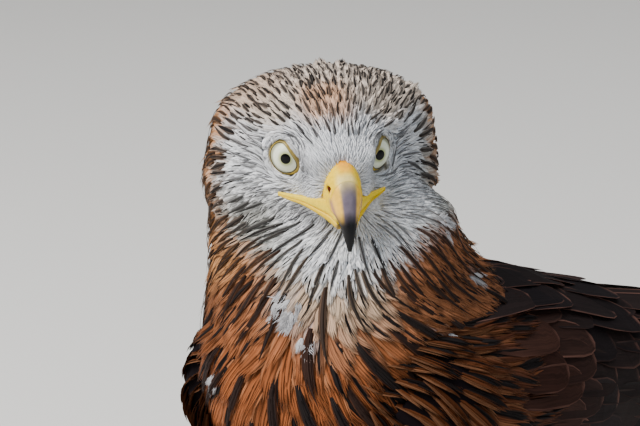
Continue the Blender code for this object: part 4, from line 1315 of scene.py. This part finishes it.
def shell_feathers(side, s, angle, length, drift, half, heights, shares, widths, roll, columns=5, camber=0.05):
    """Feathers on the wing's shell, with heights at their shares and upper edges lowered by roll."""
    along = s[:, None] + length[:, None] * shares
    turn = angle[:, None] + drift[:, None] * shares
    centre, up = shell_point(along, turn, heights, side)
    wide = half[:, None] * widths
    edge, _ = shell_point(along, turn + 1.0, heights, side)
    across = unit(edge - centre)
    across = unit(across - up * (roll / arc_per_degree(along, turn))[..., None])
    ways = unit(np.gradient(centre, axis=1))
    sides = unit(across - ways * (across * ways).sum(-1, keepdims=True)) * side
    lifted = unit(np.cross(sides, ways))
    mesh = vane_mesh(centre, lifted, wide, wide * camber + 0.15, columns, sides)
    return mesh


def grid_places(count, columns, rows, first=0):
    """Cells of a grid over the whole layout, one for each feather."""
    n = np.arange(first, first + count)
    return np.stack([(n % columns) / columns, (n // columns) / rows], axis=-1)


def wing_batch(mesh, shares, rng, count, tint, rim, dark, marks, uv, patch):
    light = rng.normal(1, 0.1, count)[:, None]
    return {
        "mesh": mesh,
        "shares": shares,
        "lot": rng.random(count),
        "uv": uv,
        "patch": patch,
        "tint": np.broadcast_to(tint, (count, 3)) * light,
        "rim": np.broadcast_to(rim, (count, 3)) * light,
        "dark": dark,
        "marks": marks,
    }


def arm_at(s):
    return smooth(ARM, np.clip(s, ARM[0][0], ARM[-1][0])).T


def covert_rows(rng, first, last, steps, lengths, halves, packing, above=0.0):
    """Places, angles, lengths and half widths of coverts in rows across the arm, from sizes at its front and back."""
    rows = []
    s, k = first, 0
    while s < last:
        length = np.interp(s, [first, last], lengths)
        half = np.interp(s, [first, last], halves)
        low, high, _, _ = arm_at(s + length * 0.4)
        high = high + above * (1 - ramp(s, -5, 34))
        arc = arc_per_degree(s + length * 0.5, (low + high) / 2)[0]
        count = max(4, int((high - low)[0] * arc / (half * packing)))
        angles = np.linspace(low[0], high[0], count) + (k % 2 - 0.5) * half * 0.6 / arc
        angles = angles + rng.normal(0, 0.16, count) * half / arc
        rows.append((np.full(count, s), angles, np.full(count, length), np.full(count, half)))
        s += np.interp(s, [first, last], steps)
        k += 1
    s, angle, length, half = (np.concatenate(part) for part in zip(*rows))
    s = s + rng.normal(0, 0.14, len(s)) * np.interp(s, [first, last], steps)
    length = length * rng.uniform(0.86, 1.12, len(s))
    return s, angle, length, half * rng.uniform(0.88, 1.12, len(s))


def lesser_coverts(side, rng):
    """Soft small coverts over the wrist, like the breast's feathers."""
    shares = np.linspace(0, 1, 6)
    s, angle, length, half = covert_rows(rng, -14.0, 44.0, (6.5, 11.0), (24, 36), (4.4, 6.6), 1.1, 26.0)
    fall = np.radians(70 * (1 - ramp(s, -12, 34)) + rng.normal(4, 8, len(s)))
    along = s[:, None] + (length * np.cos(fall))[:, None] * shares
    turn = angle[:, None] - (length * np.sin(fall) / arc_per_degree(s + 6, angle))[:, None] * shares
    height = arm_at(along.ravel())[2].reshape(along.shape) - 1.8 + 2.9 * shares - 1.6 * (1 - ramp(along, -8, 22))
    height = height + rng.normal(0, 0.25, len(s))[:, None] * shares
    path, ups = shell_point(along, turn, height, side)
    back = ramp(s, 0, 44)
    light = rng.normal(1, 0.14, len(s))[:, None]
    look = soft_look(rng, len(s), light, back, 0)
    return strands_of(path, ups, half, 11, 6, look, rng)


def soft_look(rng, count, light, back, first):
    """Colours of the soft coverts, browner at the front of the wing and darker behind."""
    return {
        "tint": mixed(np.array(RUFOUS) * 0.3, COVERT_RUFOUS, back) * light,
        "rim": mixed(np.array(RUFOUS_PALE) * 0.3, np.array(RUFOUS) * 0.4, back) * light,
        "dark": np.tile(STREAK_BLACK, (count, 1)),
        "marks": np.stack([rng.uniform(0.1, 0.5, count), np.full(count, 0.1), np.full(count, 0.6)], axis=-1),
        "uv": grid_places(count, 26, 26, first),
        "lot": rng.random(count),
    }


def shoulder_feathers(side, rng):
    """Soft feathers between the neck and the long ones of the shoulder."""
    shares = np.linspace(0, 1, 6)
    s, angle = (v.ravel() for v in np.meshgrid(np.arange(20, 50, 8.0), np.linspace(42, 84, 9)))
    count = len(s)
    s = s + rng.normal(0, 2.0, count)
    angle = angle + rng.normal(0, 2.0, count)
    length = rng.uniform(28, 38, count)
    along = s[:, None] + length[:, None] * shares
    turn = angle[:, None] + rng.normal(-3, 4, count)[:, None] * shares
    base = arm_at(along.ravel())[2].reshape(along.shape)
    height = base - 1.4 + 4.0 * shares - 2.0 * (1 - ramp(along, -8, 22)) + rng.normal(0, 0.3, count)[:, None] * shares
    path, ups = shell_point(along, turn, height, side)
    light = rng.normal(1, 0.14, count)[:, None]
    look = soft_look(rng, count, light, ramp(s, 10, 40), 26 * 16)
    return strands_of(path, ups, rng.uniform(5.0, 6.6, count), 11, 6, look, rng)


def greater_coverts(side, rng):
    """Longer coverts behind them, over the roots of the flight feathers."""
    shares = np.array([0, 0.15, 0.35, 0.55, 0.72, 0.85, 0.94, 1.0])
    s, angle, length, half = covert_rows(rng, 36.0, 118.0, (17.0, 25.0), (50, 80), (9.5, 13.5), 1.15)
    along = s[:, None] + length[:, None] * shares
    base = arm_at(along.ravel())[2].reshape(along.shape)
    lift = base - 1.6 + 3.4 * shares + rng.normal(0, 0.25, len(s))[:, None] * shares
    roll = np.full((len(s), 1), 0.05)
    mesh = shell_feathers(side, s, angle, length, rng.normal(-2, 2.5, len(s)), half, lift, shares, blunt(shares), roll)
    tint = mixed(mixed(WING_BLACK, WING_BROWN, rng.random(len(s))), COVERT_RUFOUS, 0.4 * (1 - ramp(s, 36, 70)))
    rim = mixed(tint, WING_EDGE, rng.uniform(0.1, 0.9, len(s)))
    marks = np.stack([np.full(len(s), 0.0), np.full(len(s), 0.1), rng.uniform(0.88, 0.96, len(s))], axis=-1)
    uv = grid_places(len(s), 26, 26, 26 * 12)
    return wing_batch(mesh, shares, rng, len(s), tint, rim, STREAK_BLACK, marks, uv, (0.034, 0.034))


def scapulars(side, rng):
    """Long feathers of the shoulder, over the upper part of the arm."""
    shares = np.array([0, 0.12, 0.3, 0.5, 0.7, 0.84, 0.94, 1.0])
    rows = []
    for k, s in enumerate((28, 46, 64, 86, 112)):
        count = 4 if k < 3 else 3
        angles = np.linspace(47 + 4 * (k % 2), 82, count) + rng.normal(0, 2.5, count)
        rows.append((np.full(count, float(s)), angles, np.full(count, 52.0 + 10 * k), np.full(count, 9.0 + k * 0.8)))
    s, angle, length, half = (np.concatenate(part) for part in zip(*rows))
    s = s + rng.normal(0, 4, len(s))
    length = length * rng.uniform(0.88, 1.1, len(s))
    along = s[:, None] + length[:, None] * shares
    base = arm_at(along.ravel())[2].reshape(along.shape)
    lift = base + np.interp(shares, [0, 0.2, 0.7, 1.0], [-2.0, 1.2, 2.8, 2.4]) + rng.normal(0, 0.2, len(s))[:, None]
    lift = lift - 3.2 * ramp(angle, 62, 84)[:, None] * shares
    roll = np.full((len(s), 1), 0.07)
    mesh = shell_feathers(side, s, angle, length, rng.normal(-1, 2.5, len(s)), half, lift, shares, blunt(shares), roll)
    tint = mixed(WING_BLACK, WING_BROWN, rng.random(len(s)) * 0.6)
    rim = mixed(tint, WING_EDGE, rng.uniform(0.6, 1.4, len(s)))
    marks = np.stack([np.full(len(s), 0.0), np.full(len(s), 0.1), rng.uniform(0.84, 0.93, len(s))], axis=-1)
    uv = grid_places(len(s), 26, 26, 26 * 20)
    return wing_batch(mesh, shares, rng, len(s), tint, rim, STREAK_BLACK, marks, uv, (0.034, 0.034))


def secondaries(side, rng, count=12):
    shares = np.array([0, 0.08, 0.2, 0.35, 0.5, 0.65, 0.78, 0.88, 0.95, 0.985, 1.0])
    angle = np.linspace(-19, 61, count)
    tips = np.linspace(240, 312, count) + rng.uniform(-3, 3, count)
    s = np.full(count, 138.0)
    drift = angle * -0.1 + 4
    roll = np.full((count, 1), 0.9 / (angle[1] - angle[0]))
    lift = -3 + 2.6 * ramp((tips - s)[:, None] * shares, 0, 140)
    half = np.full(count, 13.5)
    mesh = shell_feathers(side, s, angle, tips - s, drift, half, lift, shares, blunt(shares), roll, 5, 0.03)
    tint = mixed(WING_BLACK, WING_BROWN, rng.random(count))
    marks = np.tile([0.0, 0.0, 0.9], (count, 1))
    uv = grid_places(count, 26, 26, 26 * 24)
    return wing_batch(mesh, shares, rng, count, tint, WING_EDGE, STREAK_BLACK, marks, uv, (0.034, 0.034))


def primaries(side, rng, count=10):
    shares = np.array([0, 0.08, 0.2, 0.35, 0.5, 0.63, 0.75, 0.85, 0.93, 0.98, 1.0])
    places = np.array(BLADE)[:, 0]
    angle, depth, step = np.array(BLADE)[:, 1:].T
    spine = shell_point(places, angle, depth, side)[0]
    across = unit(shell_point(300, 30, 0, side)[0] - shell_point(300, 20, 0, side)[0])
    away = unit(shell_point(300, 25, 1, side)[0] - shell_point(300, 25, 0, side)[0])
    tips = np.interp(np.linspace(0, 5, count), range(6), [352, 386, 418, 446, 466, 473])
    rank = np.linspace(0, 5, count)
    s = places[0] + (tips - places[0])[:, None] * shares
    centre = np.stack([np.interp(s, places, line) for line in spine.T], axis=-1)
    centre += across * (np.interp(s, places, step) * (2.5 - rank)[:, None])[..., None]
    centre -= away * (0.92 * rank)[:, None, None]
    widths = 13.0 * lens(shares, 0.45, 0.5, 0.05)[None] * np.ones((count, 1))
    ways = unit(np.gradient(centre, axis=1))
    sides = unit(across - ways * (across * ways).sum(-1, keepdims=True)) * side
    mesh = vane_mesh(centre, unit(np.cross(sides, ways)), widths, widths * 0.03 + 0.12, 5, sides)
    marks = np.tile([0.0, 0.0, 0.97], (count, 1))
    uv = grid_places(count, 26, 26, 26 * 25)
    tint = np.broadcast_to(PRIMARY_BLACK, (count, 3))
    return wing_batch(mesh, shares, rng, count, tint, WING_BROWN, STREAK_BLACK, marks, uv, (0.034, 0.034))


def wing_core(side):
    """The folded arm under its coverts, a closed slab of the shell."""
    s = np.linspace(ARM[0][0], ARM[-1][0] - 4, 24)
    share = np.linspace(0, 1, 20)
    low, high, height, thick = arm_at(s)
    angle = low[:, None] + share * (high - low)[:, None]
    edge = np.clip(np.minimum(share, 1 - share) * 5, 0.25, 1)
    grid = np.broadcast_to(s[:, None], angle.shape)
    top, _ = shell_point(grid, angle, np.broadcast_to((height - 1.2)[:, None], angle.shape), side)
    under, _ = shell_point(grid, angle, height[:, None] - 1.2 - (thick - 1.5)[:, None] * edge, side)
    rings = np.concatenate([top, under[:, ::-1]], axis=1)
    points, faces = loft_mesh(rings)
    return points, outward(points, faces)


def build_wing(side, word, material):
    """A folded wing: its arm, coverts and flight feathers."""
    rng = np.random.default_rng(SEED + 20 + side)
    points, faces = wing_core(side)
    # The arm carries the wing's own black, kept dull so that where it shows between the coverts it stands for shade.
    core = mesh_object("wing_arm_" + word, points, faces, plain_material("wing_dark", WING_BLACK, 0.9, 0.03))
    finish_piece(core, "wing_feather")
    soft = lesser_coverts(side, rng) + shoulder_feathers(side, rng)
    feather_piece("wing_lesser_" + word, "wing_feather", material, soft)
    coverts = [greater_coverts(side, rng), scapulars(side, rng)]
    feather_piece("wing_coverts_" + word, "wing_feather", material, coverts, ("wing_" + word,))
    feather_piece("wing_flight_" + word, "wing_feather", material, [secondaries(side, rng), primaries(side, rng)])


def build_tail(material):
    rng = np.random.default_rng(SEED + 5)
    shares = np.array([0, 0.08, 0.2, 0.35, 0.5, 0.65, 0.8, 0.9, 0.96, 0.99, 1.0])
    centres, ups = [], []
    turns = np.radians(TAIL_SPREAD * np.linspace(0.075, 1, len(TAIL_LENGTHS)))
    for k, (length, turn) in enumerate(zip(TAIL_LENGTHS, turns)):
        for side in (1, -1):
            height = -TAIL_STACK * (2 * k + (side < 0))
            root = np.array([50, side * (2 + 0.9 * k)])
            tip = np.array([length * math.cos(turn), side * (length * math.sin(turn) + 3)])
            way = root + (tip - root) * shares[:, None]
            centres.append(tail_point(way[:, 0], way[:, 1], height))
            slope = math.radians(TAIL_SLOPE)
            ups.append(np.tile([0, math.sin(slope), math.cos(slope)], (len(shares), 1)))
    centres, ups = np.array(centres), np.array(ups)
    count = len(centres)
    widths = TAIL_WIDTH * blunt(shares, 0.3)[None] * np.ones((count, 1))
    mesh = vane_mesh(centres, ups, widths, widths * 0.01 + 0.12, 5)
    marks = np.tile([0.0, 0.0, 0.93], (count, 1))
    uv = grid_places(count, 4, 4)
    batch = wing_batch(mesh, shares, rng, count, TAIL_RUFOUS, TAIL_EDGE, TAIL_BAR, marks, uv, (0.24, 0.24))
    feather_piece("tail_feathers", "tail_feather", material, [batch], ("tail",))


def bill_rings(table, first, last, count, sides, grow=0.0, base=0.32, powers=(2.2, 3.2)):
    """Rings between a bill half's top and bottom lines, rounder above than below, in the head frame."""
    rings = []
    places = np.linspace(first, last, count)
    for place, row in zip(places, smooth(table, places)):
        top, bottom, width = np.array([row[0], row[1]]), np.array([row[2], row[3]]), row[4]
        rise = top - bottom
        height = np.linalg.norm(rise)
        rise = rise / height
        middle = bottom + rise * height * base
        angle = 2 * math.pi * np.arange(sides) / sides
        power = np.where(np.sin(angle) > 0, powers[0], powers[1])
        across = (width + grow) * np.sign(np.cos(angle)) * np.abs(np.cos(angle)) ** (2 / power)
        up = np.sign(np.sin(angle)) * np.abs(np.sin(angle)) ** (2 / power)
        up = np.where(up > 0, up * (height * (1 - base) + grow), up * (height * base + grow))
        rings.append(np.column_stack([middle[0] + rise[0] * up, across, middle[1] + rise[1] * up]))
    return np.array(rings)


def mouth_line(surface, side):
    """Rows of the mouth's edge from the bill to its corner, laid on the fuller cheek where that would hide it."""
    rows = smooth([(k, *row) for k, row in enumerate(GAPE)], np.linspace(0, len(GAPE) - 1, 33))
    for row in rows:
        place = in_head([row[0], side * row[1], row[3]])
        way = unit(place - CAMERA_AT)
        hit = surface.tree.ray_cast(Vector(CAMERA_AT), Vector(way))[0]
        if side > 0 and hit and (np.array(hit) - place) @ way < 0:
            moved = to_head(hit) - to_head(place)
            row[:2] += moved[:2]
            row[2:5] += moved[2]
    return rows


def gape_parts(surface, upper, sides=20):
    """The fleshy edge of the mouth back to its corners, above or below the line where it opens."""
    parts = []
    turn = 2 * math.pi * np.arange(sides) / sides
    for side in (1, -1):
        f, l, top, mouth, bottom, thick = mouth_line(surface, side).T
        high, low = (top, mouth - 0.1) if upper else (mouth + 0.1, bottom)
        path = np.stack([f, side * l, (high + low) / 2], axis=-1)
        way = unit(np.gradient(path, axis=0) * (1, 1, 0))
        out = np.cross(way, [0, 0, side]) * -1
        tall = (high - low) / 2 * np.sign(np.sin(turn))[:, None] * np.abs(np.sin(turn))[:, None] ** 0.8
        deep = np.cos(turn)[:, None] * thick * (1.0 if upper else 0.92)
        rings = path + out * deep[..., None] + np.array([0, 0, 1.0]) * tall[..., None]
        points, faces = loft_mesh(np.swapaxes(rings, 0, 1))
        parts.append((points, outward(points, faces)))
    return parts


def nostril_share(points, side, low, high):
    """From 1 inside a nostril to 0 outside it."""
    apart = points - np.array(NOSTRIL) * (1, side, 1)
    tilt = math.radians(NOSTRIL_TILT)
    long = apart[..., 0] * math.cos(tilt) - apart[..., 2] * math.sin(tilt)
    short = apart[..., 0] * math.sin(tilt) + apart[..., 2] * math.cos(tilt)
    oval = np.sqrt((long / NOSTRIL_SIZE[0]) ** 2 + (short / NOSTRIL_SIZE[1]) ** 2)
    return (1 - ramp(oval, low, high)) * (apart[..., 1] * side > -4)


def nostril_shade_plug(side):
    """A dark drop of painted shade at the bottom of a nostril, slanting and wider in front."""
    turn = 2 * math.pi * np.arange(20) / 20
    share = np.linspace(0.03, 0.97, 16)
    radius = 1.15 * np.sin(share * math.pi) ** 0.7 * (0.5 + 0.65 * share)
    tilt = math.radians(NOSTRIL_TILT)
    f, l, u = NOSTRIL
    place = (share - 0.5) * 5.6
    middle = np.stack([f + place * math.cos(tilt), l - 0.85 - 0.16 * place, u - place * math.sin(tilt)], axis=-1)
    ring = np.stack([0 * turn, 0.8 * np.cos(turn), np.sin(turn)], axis=-1)
    points, faces = loft_mesh((middle[:, None] + radius[:, None, None] * ring) * (1, side, 1))
    return points, outward(points, faces)


def build_bill(surface):
    waxy = tinted_material("cere_skin", 0.4, 700.0, 0.0002, 0.22, (0.92, 1.06), Subsurface_Weight=0.06)
    horn = tinted_material("bill_horn", 0.24, 300.0, 0.0001, 0.14, (0.88, 1.1), Coat_Weight=0.12, Coat_Roughness=0.12)
    rings = bill_rings(UPPER_BILL, 0, CERE_END, 60, 96, 0.14)
    for side in (1, -1):
        rings[..., 1] -= side * 1.9 * nostril_share(rings, side, 0.55, 1.1)
    points, faces = loft_mesh(rings)
    points, faces = joined([(points, outward(points, faces)), *gape_parts(surface, True)])
    tint = cere_colours(points)
    finish_piece(mesh_object("cere_skin", in_head(points), faces, waxy, colours={"tint": tint}), "cere_yellow", "cere")
    # Painted shade: dark drops sunk in the nostrils.
    plugs = [nostril_shade_plug(side) for side in (1, -1)]
    dark = plain_material("nostril_shade", NOSTRIL_SHADE, 0.8, 0.05)
    points, faces = joined(plugs)
    finish_piece(mesh_object("nostril_hollows", in_head(points), faces, dark), "cere_yellow")
    points, faces = loft_mesh(bill_rings(UPPER_BILL, CERE_END - 0.45, 8, 90, 72))
    tint = horn_colours(points)
    upper = mesh_object("bill_upper_horn", in_head(points), outward(points, faces), horn, colours={"tint": tint})
    finish_piece(upper, "bill_horn", "bill_upper")
    points, faces = loft_mesh(bill_rings(LOWER_BILL, 0, 4, 30, 48, 0.0, 0.55, (3.0, 2.0)))
    points, faces = joined([(points, outward(points, faces)), *gape_parts(surface, False)])
    tint = mixed(np.array(CERE_YELLOW) * 0.85, (0.3, 0.2, 0.12), ramp(points[:, 0], 30, 31.8))
    lower = mesh_object("bill_lower_skin", in_head(points), faces, waxy, colours={"tint": tint})
    finish_piece(lower, "cere_yellow", "bill_lower")


def cere_colours(points):
    """Bright yellow, orange on top, pale towards the horn, with painted shade in the nostrils and a pinkish band of
    painted shade along the cutting edge.
    """
    f, l, u = points.T
    tint = np.tile(CERE_YELLOW, (len(points), 1))
    tint = mixed(tint, CERE_ORANGE, ramp(u, 0, 5) * ramp(-np.abs(l - 0.5), -5, -2) * 0.8)
    tint = mixed(tint, CERE_PALE, ramp(f, 24.5, 28.5) * ramp(-np.abs(l), -6, -2))
    tint = mixed(tint, (0.9, 0.62, 0.02), ramp(-u, 10, 14))
    # Painted shade inside each nostril.
    for side in (1, -1):
        tint = mixed(tint, NOSTRIL_SHADE, nostril_share(points, side, 0.72, 1.02))
    # Pinkish painted shade along the cutting edge.
    return mixed(tint, BAND_SHADE_PINK, shaded_band(points) * 0.8)


def shaded_band(points):
    """Painted shade: the slanting pinkish band from under the nostril to the edge of the bill, where the cutting edge
    lies in shade.
    """
    f, l, u = points.T
    middle = 29.4 - 0.55 * (u + 11)
    return np.exp(-(((f - middle) / 1.4) ** 2)) * ramp(np.abs(l), 2.0, 3.4) * ramp(-u, 7.0, 10)


def horn_colours(points):
    """Grey violet along the top, yellow on the sides at the base, black to the tip."""
    f, l, u = points.T
    tint = np.tile((0.16, 0.13, 0.165), (len(points), 1))
    tint = mixed(tint, CERE_PALE, 1 - ramp(f + 0.3 * u, 27.2, 31.8))
    strip = np.interp(u, [-20, -15, -4, 0], [1.9, 2.4, 3.4, 3.0])
    tint = mixed(tint, (0.9, 0.52, 0.06), ramp(np.abs(l) - strip, -0.5, 0.9) * ramp(u, -19.5, -15))
    # Pinkish painted shade along the cutting edge.
    tint = mixed(tint, BAND_SHADE_PINK, shaded_band(points) * 0.85)
    return mixed(tint, (0.004, 0.0035, 0.004), ramp(-u - 0.5 * np.abs(l), 10.5, 17) ** 0.6)


def eye_material():
    """Pale iris with fine spokes and a black pupil, under a clear wet surface."""
    nodes = Nodes("eye_glass")
    out = nodes.attribute("out")
    around = nodes.attribute("around")
    spokes = nodes.noise(nodes.vector(nodes.math("MULTIPLY", around, 20.0), nodes.math("MULTIPLY", out, 0.9), 0.0), 1.0, 3.0)
    iris = nodes.mix(nodes.spread(out, PUPIL, 4.2), (0.4, 0.42, 0.2), (0.78, 0.81, 0.64))
    iris = nodes.mix(nodes.spread(out, 5.6, 6.9), iris, (0.3, 0.3, 0.2))
    iris = nodes.mix(nodes.spread(spokes, 0.4, 0.75, 0.0, 0.3), iris, (0.42, 0.44, 0.27))
    colour = nodes.mix(nodes.spread(out, PUPIL - 0.1, PUPIL + 0.1), (0.001, 0.001, 0.001), iris)
    return nodes.surface(colour, 0.4, 0.05, Coat_Weight=1.0, Coat_Roughness=0.02, Coat_IOR=1.2)


def build_eyes():
    glass = eye_material()
    rim_skin = tinted_material("lid_skin", 0.4, 900.0, 0.0002, 0.4, (0.85, 1.1))
    for side, word in ((1, "left"), (-1, "right")):
        middle, look = eye_frame(side)
        out = math.radians(GAZE_OUTWARD[side])
        gaze = unit([math.cos(out), side * math.sin(out), math.sin(math.radians(GAZE_UP))])
        across = unit(np.cross([0, 0, 1.0], gaze))
        up = np.cross(gaze, across)
        turn = 2 * math.pi * np.arange(72) / 72
        ring = np.outer(np.cos(turn), across) + np.outer(np.sin(turn), up)
        polar = np.linspace(0.02, 2.1, 80)
        rings = [middle + EYE_RADIUS * (math.cos(p) * gaze + math.sin(p) * ring) for p in polar]
        points, faces = loft_mesh(rings)
        reach = np.where(polar < math.pi / 2, EYE_RADIUS * np.sin(polar), EYE_RADIUS)
        numbers = {
            "out": np.concatenate([np.repeat(reach, 72), [0.0, EYE_RADIUS]]),
            "around": np.concatenate([np.tile(turn, len(polar)), [0.0, 0.0]]),
        }
        eye = mesh_object("eyeball_" + word, in_head(points), outward(points, faces), glass, numbers=numbers)
        finish_piece(eye, "eye", "eye_" + word)
        points, faces, tint = lid_mesh(middle, look, side)
        lid = mesh_object("lid_" + word, in_head(points), faces, rim_skin, colours={"tint": tint})
        finish_piece(lid, "cere_yellow")


def lid_mesh(middle, look, side):
    """The bare yellow rim round an eye, dark olive in painted shade under the brow, and the grey fold outside it,
    lying on the eyeball.
    """
    steps = 120
    around = 2 * math.pi * np.arange(steps) / steps
    forward = np.cross([0, 0, side], look) * -1
    spoke = np.outer(np.cos(around), forward) + np.outer(np.sin(around), [0, 0, 1.0])
    reach = lid_reach(around)
    wide = LID_WIDE * (1 + 0.05 * np.sin(9 * around + 1.3) + 0.04 * np.sin(17 * around))
    wide = wide * (1 - 0.35 * ramp(np.cos(around - math.radians(110)), -0.5, 0.4))

    def ball(q):
        return np.sqrt(np.maximum(EYE_RADIUS**2 - q**2, 4.0))

    outer = np.maximum(LID_END, reach + wide + 0.4)
    section = [
        (reach + 0.1, ball(reach) - 0.5, 0),
        (reach - 0.05, ball(reach) + 0.12, 0),
        (reach + 0.3, ball(reach + 0.3) + 0.5, 0.1),
        (reach + wide * 0.35, ball(reach + wide * 0.35) + LID_THICK, 1),
        (reach + wide * 0.7, ball(reach + wide * 0.7) + LID_THICK * 0.95, 1),
        (reach + wide, ball(reach + wide) + LID_THICK * 0.35, 0.9),
        (reach + wide + 0.15, ball(reach + wide) + 0.1, 2),
        (mixed(reach + wide, outer, 0.35), mixed(ball(reach + wide), 4.2, 0.3) + 0.2, 2),
        (mixed(reach + wide, outer, 0.7), mixed(ball(reach + wide), 4.2, 0.65) + 0.2, 2),
        (outer, np.full(steps, 3.6), 2),
        (outer - 0.3, np.full(steps, 2.2), 2),
        (reach + wide, ball(reach + wide) - 1.2, 2),
    ]
    rings = [middle + spoke * np.reshape(q, (-1, 1)) + look * np.reshape(h, (-1, 1)) for q, h, _ in section]
    points = np.stack(rings, axis=1).reshape(-1, 3)
    sides = len(section)
    faces = []
    for k in range(steps):
        for j in range(sides):
            n, m = (k + 1) % steps, (j + 1) % sides
            p, q = k * sides + j, n * sides + j
            faces += [(p, q, n * sides + m), (p, n * sides + m, k * sides + m)]
    faces = outward(points, np.array(faces))
    shade = np.tile([kind for _, _, kind in section], steps)
    # Painted shade: the yellow rim goes dark olive towards the front and top, under the brow, and stays bright yellow
    # behind and below.
    rim_with_shade = np.repeat(mixed((0.3, 0.22, 0.05), (0.72, 0.5, 0.06), ramp(-np.cos(around - 0.9), -0.6, 0.5)), sides, axis=0)
    tint = mixed((0.008, 0.007, 0.005), rim_with_shade, np.minimum(shade, 1))
    tint = np.where((shade > 1.5)[:, None], (0.55, 0.55, 0.57), tint)
    return points, faces, tint


def toe_path(side, heading, length, radius, count=40):
    angle = math.radians(heading)
    way = np.array([side * math.sin(angle), math.cos(angle), 0.0])
    share = np.linspace(0, 1, count)
    radii = radius * (1 - 0.28 * share) * (1 + 0.1 * np.cos(share * 3 * 2 * math.pi))
    level = radii - SOLE_CUT
    level = level + (FOOT_AT[2] - 3 - level) * (1 - np.minimum(1, share * 5)) * 0.6
    points = np.array([side * FOOT_AT[0], FOOT_AT[1], 0]) + way * (length * share)[:, None]
    points[:, 2] = level
    return points, radii, way


def scutes(share, count, rise=0.05):
    """A saw-tooth swelling along a toe or shank, one step for each scale."""
    return 1 + rise * ((share * count) % 1.0 - 0.5)


def build_leg(side, word, skin, horn):
    parts = []
    share = np.linspace(0, 1, 60)
    ankle = np.array([side * ANKLE[0], ANKLE[1], ANKLE[2] + 10])
    base = np.array([side * FOOT_AT[0], FOOT_AT[1], FOOT_AT[2] - 2])
    path = ankle + (base - ankle) * share[:, None]
    radii = np.interp(share, [0, 0.2, 0.4, 0.6, 0.8, 1.0], [5.2, 4.8, 4.3, 4.3, 4.9, 6.0]) * scutes(share, 14)
    parts.append(loft_mesh(tube_rings(path, radii, 28)))
    claws = []
    for name, heading, length, radius, reach in TOES:
        points, radii, way = toe_path(side, heading, length, radius)
        share = np.linspace(0, 1, len(radii))
        parts.append(loft_mesh(tube_rings(points, radii * scutes(share, length / 3.0), 24)))
        claws.append((name, claw_mesh(points, radii, way, reach)))
    parts = [(p, outward(p, f)) for p, f in parts]
    points, faces = joined(parts)
    points[:, 2] = np.maximum(points[:, 2], 0.05)
    front = ramp(points[:, 2], 2, 9)
    tint = mixed((0.6, 0.36, 0.04), (0.85, 0.52, 0.05), front)
    foot = mesh_object("foot_skin_" + word, points, faces, skin, colours={"tint": tint})
    finish_piece(foot, "leg_yellow", "foot_" + word)
    for name, (points, faces) in claws:
        claw = mesh_object(f"claw_horn_{word}_{name}", points, faces, horn)
        finish_piece(claw, "claw_black", f"claw_{word}_{name}")


def claw_mesh(points, radii, way, reach):
    root = points[-1] - way * 0.8
    share = np.linspace(0, 1, 24)
    bend = math.radians(CLAW_BEND)
    forward = reach * np.sin(bend * share) / bend
    drop = reach * (1 - np.cos(bend * share)) / bend
    arch = CLAW_ARCH * np.sin(math.pi * np.minimum(1, share * 1.1))
    path = root + way * forward[:, None]
    path[:, 2] += arch - drop
    path[:, 2] += (0.9 - path[:, 2].min()) * share
    widths = radii[-1] * 0.72 * (1 - share) ** 0.8 + 0.3
    p, f = loft_mesh(tube_rings(path, widths, 18))
    return p, outward(p, f)


def area_light(name, place, target, size, power, colour):
    light = bpy.data.lights.new(name, "AREA")
    light.size = size
    light.energy = power
    light.color = colour
    lamp = bpy.data.objects.new(name, light)
    lamp.location = place
    lamp.rotation_euler = (Vector(target) - Vector(place)).to_track_quat("-Z", "Y").to_euler()
    bpy.context.scene.collection.objects.link(lamp)


def build_stage():
    """Pale floor, soft studio light and the camera at the photo's angle."""
    half = 9.0
    mesh = bpy.data.meshes.new("floor")
    mesh.from_pydata([(-half, -half, 0), (half, -half, 0), (half, half, 0), (-half, half, 0)], [], [(0, 1, 2, 3)])
    mesh.materials.append(plain_material("floor_paint", (0.72, 0.71, 0.69), 0.85, 0.2))
    floor = bpy.data.objects.new("floor", mesh)
    bpy.context.scene.collection.objects.link(floor)
    camera = bpy.data.cameras.new("camera")
    camera.lens = LENS
    camera.sensor_width = 36
    camera.clip_start = 0.05
    holder = bpy.data.objects.new("camera", camera)
    holder.location = CAMERA_AT * MM + SHIFT
    holder.rotation_euler = Vector(-CAMERA_AXES[0]).to_track_quat("-Z", "Y").to_euler()
    bpy.context.scene.collection.objects.link(holder)
    bpy.context.scene.camera = holder
    target = tuple(HEAD_AT * MM + SHIFT)
    area_light("key", (-0.9, -1.7, 1.9), target, 1.3, 124, (1.0, 0.98, 0.95))
    area_light("fill", (2.2, -1.0, 0.9), target, 1.8, 13, (0.7, 0.86, 1.0))
    area_light("top", (0.2, 0.7, 2.4), (0, 0, 0.1), 2.2, 40, (1.0, 1.0, 1.0))
    world = bpy.data.worlds.new("studio")
    world.use_nodes = True
    world.node_tree.nodes["Background"].inputs[0].default_value = (0.78, 0.82, 0.88, 1)
    world.node_tree.nodes["Background"].inputs[1].default_value = 0.16
    bpy.context.scene.world = world


def main():
    build_stage()
    surface = outer_surface()
    layout = build_skin(surface)
    body_plumage(surface, layout)
    material = plumage_material("plumage_wing", 0.0003, 0.05)
    for side, word in ((1, "left"), (-1, "right")):
        build_wing(side, word, material)
    build_tail(material)
    build_bill(surface)
    build_eyes()
    skin = tinted_material("leg_skin", 0.45, 600.0, 0.0003, 0.45, (0.8, 1.12))
    horn = plain_material("claw_horn", (0.012, 0.011, 0.011), 0.25, 0.5)
    for side, word in ((1, "left"), (-1, "right")):
        build_leg(side, word, skin, horn)


main()
